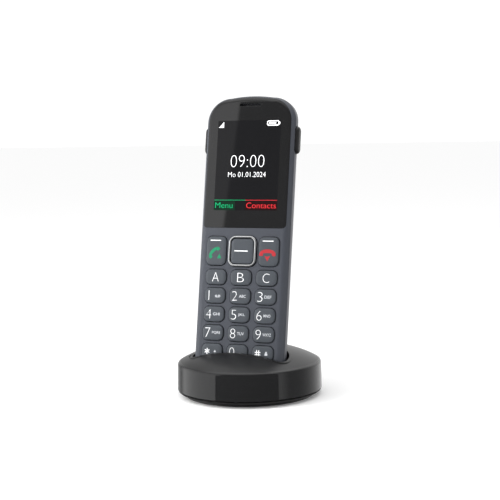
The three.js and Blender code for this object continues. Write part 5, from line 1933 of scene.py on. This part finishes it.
@dataclass
class Keypad:
    """The keys of the front with their lettering, the navigation key and the side keys."""

    edge: float = 0.5
    shoulder: float = 1.3
    shoulder_drop: float = 0.1
    letter_height: float = 4.5
    digit_height: float = 4.7
    digit_width: float = 2.7
    digit_inset: float = 1.5
    digit_weight: float = -0.027
    one_shift: float = 0.8
    letter_width: float = 3.5
    letter_weight: float = -0.024
    group_height: float = 1.45
    group_inset: float = 5.2
    sign_shift: float = 2.4  # how far the star and the hash stand left of the middle

    def cap(self, key: KeyPlace) -> Solid:
        """A key cap with a rounded edge and a soft shoulder to a flat middle.

        Args:
            key: the key's place.

        Returns:
            The closed bmesh.
        """
        bm = plate(key.outline(), key.front + self.shoulder_drop, key.back, self.edge)
        top = min(bm.faces, key=lambda f: f.calc_center_median().y)
        for share in (0.65, 0.35):
            bmesh.ops.inset_region(
                bm, faces=[top], thickness=self.shoulder / 2, depth=self.shoulder_drop * share,
                use_even_offset=True,
            )
        bmesh.ops.recalc_face_normals(bm, faces=bm.faces)
        return bm

    def letter_keys(self) -> None:
        """Prints the three direct-dial letters."""
        for letter in "abc":
            key = KEYS[f"key_{letter}"]
            left = key.centre[0] - self.letter_width / 2
            low = key.centre[1] - self.letter_height / 2
            bm = lettering(
                letter.upper(), self.letter_height, left, low, key.front,
                self.letter_width, self.letter_weight,
            )
            settle(f"legend_{letter}", bm, key.node, KEY_WHITE)

    def digit_keys(self) -> None:
        """Prints each digit with its letters at the right."""
        for entry in Legend:
            digit, group = entry.value
            key = KEYS[f"key_{digit}"]
            left = key.centre[0] - key.width / 2
            low = key.centre[1] - self.digit_height / 2
            wide = None if digit == "1" else self.digit_width
            at = left + self.digit_inset + (self.one_shift if digit == "1" else 0.0)
            bm = lettering(digit, self.digit_height, at, low, key.front, wide, self.digit_weight)
            settle(f"legend_{digit}", bm, key.node, KEY_WHITE)
            start, middle = left + self.group_inset, key.centre[1]
            if group == "_":
                bm = mark(rounded_rect(2.2, 0.3, 0.1, (start + 1.6, middle - 0.4), 2), key.front)
            elif group == "oo":
                bm = self.tape_symbol(start + 0.6, middle - 0.3, key.front)
            else:
                span = 4.4 if len(group) == 4 else 3.6
                foot = middle - self.group_height / 2
                bm = lettering(group, self.group_height, start, foot, key.front, span, 0.01)
            settle(f"legend_{digit}_letters", bm, key.node, KEY_GREY)

    def tape_symbol(self, left: float, middle: float, depth: float) -> Solid:
        """Two small reels and the tape under them.

        Args:
            left: place of the left edge across the handset.
            middle: place of the reels' middles along it.
            depth: depth of the face under them.

        Returns:
            The marks as one bmesh.
        """
        reel, core, pitch, tape = 1.2, 0.6, 1.6, 0.22
        parts = []
        for x in (left + reel / 2, left + reel / 2 + pitch):
            ring = mark(rounded_rect(reel, reel, reel / 2, (x, middle), 6), depth)
            hole = plate(rounded_rect(core, core, core / 2, (x, middle), 6), depth - 1, depth + 1)
            parts.append(carve(ring, [(Cut.REMOVE, hole)]))
        place = (left + (reel + pitch) / 2, middle - 0.5)
        parts.append(mark(rounded_rect(pitch, tape, 0.05, place, 2), depth))
        return merged(parts)

    def star_and_hash(self) -> None:
        """Prints the star with a small arrow and the hash with a small lock."""
        star, hash_key = KEYS["key_star"], KEYS["key_hash"]
        length, line, reach, gap = 3.0, 0.45, 3.4, 0.55
        step = 0.002  # each bar that crosses others stands this much higher
        bars = []
        bar = rounded_rect(length, 0.5, 0.2, steps=3)
        centre = Vector((star.centre[0] - self.sign_shift, star.centre[1]))
        for angle in (0, 60, 120):
            turn = Matrix.Rotation(math.radians(angle + 30), 2)
            thick = MARK_THICKNESS + angle / 40 * step
            bars.append(mark([turn @ p + centre for p in bar], star.front, thick))
        settle("legend_star", merged(bars), star.node, KEY_WHITE)
        arrow_at = Vector((star.centre[0] + 1.8, star.centre[1] - 0.4))
        arrow = mark([arrow_at + Vector(p) for p in ((-0.7, 0), (0.7, 0), (0, 1.2))], star.front)
        settle("legend_star_arrow", arrow, star.node, KEY_GREY)
        cross = []
        x, z = hash_key.centre[0] - self.sign_shift, hash_key.centre[1]
        strokes = [((x - gap, z), (line, reach)), ((x + gap, z), (line, reach))]
        strokes += [((x, z + gap), (length, line)), ((x, z - gap), (length, line))]
        for i, (place, size) in enumerate(strokes):
            stroke = rounded_rect(*size, 0.1, place, 2)
            cross.append(mark(stroke, hash_key.front, MARK_THICKNESS + i * step))
        settle("legend_hash", merged(cross), hash_key.node, KEY_WHITE)
        lock_at = (hash_key.centre[0] + 2.0, hash_key.centre[1] - 0.3)
        lock = merged([
            mark(rounded_rect(1.5, 1.1, 0.2, lock_at, 3), hash_key.front),
            mark(rounded_rect(0.9, 0.9, 0.4, (lock_at[0], lock_at[1] + 0.95), 4), hash_key.front, 0.028),
        ])
        settle("legend_hash_lock", lock, hash_key.node, KEY_GREY)

    @staticmethod
    def receiver(width: float, centre: Sequence[float], turn: float) -> Outline:
        """A telephone receiver seen from the side: an arch with an ear at each end.

        Args:
            width: from ear to ear.
            centre: its middle across and along the handset.
            turn: how far it is turned, in degrees.

        Returns:
            Its outline.
        """
        half = [Vector((p.x, 0.55 * p.y)) for p in arc((0, 0), 1.0, 90, 12, 10)]
        ear = ((1.02, -0.1), (0.97, -0.22), (0.62, -0.22), (0.54, -0.12), (0.52, 0.1))
        half += [Vector(p) for p in ear]
        half += [Vector((p.x, 0.12 * p.y + 0.06)) for p in arc((0, 0), 0.5, 20, 90, 6)]
        whole = half + [Vector((-p.x, p.y)) for p in reversed(half[1:-1])]
        spin = Matrix.Rotation(math.radians(turn), 2)
        return [spin @ (p * width / 2) + Vector(centre) for p in whole]

    def call_keys(self) -> None:
        """Prints the soft-key bars, the green receiver and the red one on its hook."""
        talk, end = KEYS["talk_key"], KEYS["end_key"]
        bar_width, bar_height, bar_shift, bar_rise = 5.8, 0.46, 0.4, 5.2
        for key, name in ((talk, "legend_soft_left"), (end, "legend_soft_right")):
            place = (key.centre[0] - bar_shift, key.centre[1] + bar_rise)
            bar = mark(rounded_rect(bar_width, bar_height, 0.2, place, 3), key.front)
            settle(name, bar, key.node, KEY_WHITE)
        centre = Vector(talk.centre)
        receiver = mark(self.receiver(7.2, centre + Vector((-0.8, -1.0)), 45), talk.front)
        arrow = mark([centre + Vector(p) for p in ((0.8, -3.8), (3.0, -3.8), (1.9, -1.4))], talk.front)
        settle("legend_talk", merged([receiver, arrow]), talk.node, KEY_GREEN)
        centre = Vector(end.centre)
        hook = mark(self.receiver(8.6, centre + Vector((-0.4, -1.2)), 0), end.front)
        wedge = ((-1.9, -2.1), (-0.4, -4.8), (1.1, -2.1), (-0.4, -2.5))
        stem = mark([centre + Vector(p) for p in wedge], end.front)
        settle("legend_end", merged([hook, stem]), end.node, KEY_RED)

    def navigation(self) -> None:
        """Builds the bright ring and the centre key inside it."""
        band, outer_edge, inner_edge = 1.0, 0.4, 0.35
        inner = flared_cutter(lambda g: NAV.outline(g - band), NAV.front, NAV.back + 1, inner_edge)
        bm = carve(plate(NAV.outline(), NAV.front, NAV.back, outer_edge), [(Cut.REMOVE, inner)])
        settle("nav_ring_trim", bm, "nav_ring", CHROME, ["nav_ring"])
        cap = self.cap(NAV_CENTRE)
        settle("nav_centre_cap", cap, "nav_centre", KEY_SATIN, ["nav_centre"])
        place = (NAV_CENTRE.centre[0] - 0.5, NAV_CENTRE.centre[1] + 0.1)
        bar = mark(rounded_rect(7.2, 0.5, 0.2, place, 3), NAV_CENTRE.front)
        settle("legend_nav", bar, "nav_centre", KEY_WHITE)

    def build(self) -> None:
        """Builds the keys, their prints, the navigation key and the side keys."""
        for key in KEYS.values():
            settle(f"{key.node}_cap", self.cap(key), key.node, KEY_SATIN, [key.node])
        self.letter_keys()
        self.digit_keys()
        self.star_and_hash()
        self.call_keys()
        self.navigation()
        for key in SIDE_KEYS:
            key.build()


# ---- inside the handset


@dataclass
class Inside:
    """The pieces inside the handset, some of which show when it is opened."""

    body: str = "handset"

    def cells(self) -> None:
        """Builds the two cells: film over the can, a bright button and a base ring."""
        soft, button, neck, button_height = 0.4, 1.9, 2.3, 0.8
        for side in SIDES:
            node = f"battery_cell_{side}"
            low, high = FRAMES.box(node)
            middle = (low + high) / 2
            r = (high.x - low.x) / 2
            length = high.z - low.z - button_height
            top = length + button_height
            profile = [(0.0, 0.0), (r - 0.9, 0.0), (r - 0.8, 0.12), (r - 0.55, 0.12), (r - soft, 0.0)]
            profile += [(p.x, p.y) for p in arc((r - soft, soft), soft, -90, 0, 4)]
            profile += [(p.x, p.y) for p in arc((r - soft, length - soft), soft, 0, 90, 4)]
            profile += [(neck, length - 0.15), (button, length), (button, top - 0.2), (button - 0.2, top)]
            bm = turned([*profile, (0.0, top)], 64)
            start = low.z
            if side == "right":
                start = high.z
                turn_about(bm, 180, "X")
            bmesh.ops.translate(bm, vec=(middle.x, middle.y, start), verts=bm.verts)
            settle(f"{node}_wrapped", bm, self.body, CELL_WRAP, [node])

    def screws(self) -> None:
        """Builds the two screws that hold the shells together, heads at the back."""
        for side in SIDES:
            node = f"shell_screw_{side}"
            low, high = FRAMES.box(node)
            middle = (low + high) / 2
            bm = screw((0, 0), (high.x - low.x) / 2, 0, high.y - low.y)
            turn_about(bm, 90, "X")
            bmesh.ops.translate(bm, vec=(middle.x, high.y, middle.z), verts=bm.verts)
            settle(f"{node}_steel", bm, self.body, STEEL, [node])

    def build(self) -> None:
        """Builds the inner pieces of the handset."""
        self.cells()
        self.screws()
        for node, finish in (
            ("keypad_mat", SILICONE), ("circuit_board", BOARD_GREEN), ("earpiece_speaker", SPEAKER),
            ("microphone", TIN), ("ringer_speaker", SPEAKER), ("radio_shield", TIN), ("antenna", GOLD),
            ("battery_bridge", TIN), ("battery_contact_left", TIN), ("battery_contact_right", TIN),
            ("charge_pad_left", GOLD), ("charge_pad_right", GOLD),
        ):
            refined_copy(node, self.body, finish)


# ---- studio


@dataclass
class Studio:
    """Pale floor, soft lights and the camera."""

    camera_place: tuple[float, float, float] = (0.24028, -0.57549, 0.13701)
    turn: float = 22.52
    pitch: float = 5.90
    roll: float = -1.27
    lens: float = 90.57
    fill: float = 0.92
    backdrop: float = 1.1
    floor_glow: float = 0.09
    dark_cloth: float = 0.22
    behind: float = 0.75
    right_panel: float = 0.6
    left_panel: float = 1.15
    overhead: float = 0.9
    panel_edge: float = -24.5  # degrees, where the left panel's edge shows in the window
    edge_slant: float = 0.37

    def camera(self) -> None:
        """Adds the camera and makes it the scene's."""
        az, pt, ro = (math.radians(a) for a in (self.turn, self.pitch, self.roll))
        forward = Vector((-math.sin(az) * math.cos(pt), math.cos(az) * math.cos(pt), -math.sin(pt)))
        right = Vector((math.cos(az), math.sin(az), 0))
        up = right.cross(forward)
        tilted_right = right * math.cos(ro) + up * math.sin(ro)
        tilted_up = up * math.cos(ro) - right * math.sin(ro)
        data = bpy.data.cameras.new("camera")
        data.lens = self.lens
        data.sensor_width = 36.0
        data.clip_start = 0.01
        obj = bpy.data.objects.new("camera", data)
        bpy.context.scene.collection.objects.link(obj)
        axes = Matrix((tilted_right, tilted_up, -forward)).transposed()
        obj.matrix_world = Matrix.Translation(self.camera_place) @ axes.to_4x4()
        bpy.context.scene.camera = obj

    def floor(self) -> None:
        """Adds the pale paper floor."""
        bm = bmesh.new()
        bmesh.ops.create_grid(bm, x_segments=1, y_segments=1, size=6.0)
        floor = as_object("floor", bm)
        material = bpy.data.materials.new("floor_paper")
        material.use_nodes = True
        w = Wiring(material.node_tree)
        shader = material.node_tree.nodes["Principled BSDF"]
        fibre = w.ramp(w.noise(w.place(), 900.0, 3.0), 0.3, 0.7, 0.94, 0.97)
        colour = w.put("ShaderNodeCombineColor")
        for channel in colour.inputs:
            w.link(fibre, channel)
        w.link(colour.outputs[0], shader.inputs["Base Color"])
        shader.inputs["Roughness"].default_value = 1.0
        shader.inputs["Specular IOR Level"].default_value = 0.0
        w.link(colour.outputs[0], shader.inputs["Emission Color"])
        shader.inputs["Emission Strength"].default_value = self.floor_glow
        floor.data.materials.append(material)
        floor.visible_glossy = False

    def light(
        self, name: str, place: Sequence[float], size: Sequence[float], power: float,
        target: Sequence[float] = (0, 0, 0.06),
    ) -> None:
        """Adds a rectangular soft light that points at a target.

        Args:
            name: the light's name.
            place: its middle in metres.
            size: its two sides in metres.
            power: its power in watts.
            target: what it points at.
        """
        data = bpy.data.lights.new(name, "AREA")
        data.shape = "RECTANGLE"
        data.size, data.size_y = size
        data.energy = power
        obj = bpy.data.objects.new(name, data)
        bpy.context.scene.collection.objects.link(obj)
        aim = Vector(target) - Vector(place)
        obj.matrix_world = Matrix.Translation(place) @ aim.to_track_quat("-Z", "Y").to_matrix().to_4x4()
        obj.visible_glossy = False

    def sky(self) -> None:
        """Paints the studio round the object: white for the eye, panels and dark cloth for reflections."""
        world = bpy.data.worlds.new("studio")
        world.use_nodes = True
        bpy.context.scene.world = world
        w = Wiring(world.node_tree)
        background = world.node_tree.nodes["Background"]
        split = w.put("ShaderNodeSeparateXYZ")
        w.link(w.put("ShaderNodeTexCoord").outputs["Generated"], split.inputs["Vector"])
        x, y, z = split.outputs
        azimuth = w.times(w.math("ARCTAN2", x, w.times(y, -1.0)), 180 / math.pi)
        height = w.times(w.math("ARCSINE", z), 180 / math.pi)
        below = w.math("MAXIMUM", w.minus(14.0, height), 0.0)
        slanted = w.plus(azimuth, w.times(below, self.edge_slant))
        edge = w.ramp(slanted, self.panel_edge - 0.2, self.panel_edge, 1.0, 0.0)
        left = w.times(edge, w.ramp(azimuth, -120.0, -100.0))
        left = w.times(left, w.ramp(height, 15.0, 48.0, 1.0, 0.35))
        behind = w.ramp(w.math("ABSOLUTE", azimuth), 100.0, 170.0)
        fading = w.ramp(azimuth, 70.0, 90.0, self.right_panel, 0.12)
        right = w.times(w.ramp(azimuth, 68.0, 68.6), fading)
        level = w.plus(self.dark_cloth, w.times(behind, self.behind))
        level = w.plus(level, w.times(left, self.left_panel))
        level = w.plus(level, right)
        overhead = w.times(w.ramp(height, 40.0, 62.0), self.overhead)
        level = w.plus(level, overhead)
        level = w.times(level, w.ramp(height, -32.0, -16.0, 0.25, 1.0))
        path = w.put("ShaderNodeLightPath").outputs
        diffuse = w.put("ShaderNodeMix", data_type="FLOAT")
        w.link(path["Is Glossy Ray"], diffuse.inputs["Factor"])
        diffuse.inputs[2].default_value = self.fill
        w.link(level, diffuse.inputs[3])
        mixed = w.put("ShaderNodeMix", data_type="FLOAT")
        w.link(path["Is Camera Ray"], mixed.inputs["Factor"])
        w.link(diffuse.outputs[0], mixed.inputs[2])
        mixed.inputs[3].default_value = self.backdrop
        background.inputs["Color"].default_value = (1.0, 1.0, 1.0, 1.0)
        w.link(mixed.outputs[0], background.inputs["Strength"])

    def build(self) -> None:
        """Sets up the studio."""
        self.camera()
        self.floor()
        self.sky()
        self.light("key_left", (-0.42, -0.55, 0.42), (0.5, 0.6), 0.8)
        self.light("strip_left", (-0.14, -0.14, 0.12), (0.05, 0.34), 0.42, (0, -0.01, 0.1))
        self.light("top_soft", (0.1, -0.1, 0.9), (0.9, 0.9), 2.2)
        bpy.context.scene.view_settings.view_transform = "Standard"


# ---- the whole object


def main() -> None:
    """Builds the phone, its cradle and the studio."""
    logging.basicConfig(level=logging.INFO, format="%(name)s: %(message)s")
    Studio().build()
    Cradle().build()
    Shells().build()
    WINDOW.build()
    Keypad().build()
    Inside().build()


if __name__ == "__main__":
    main()
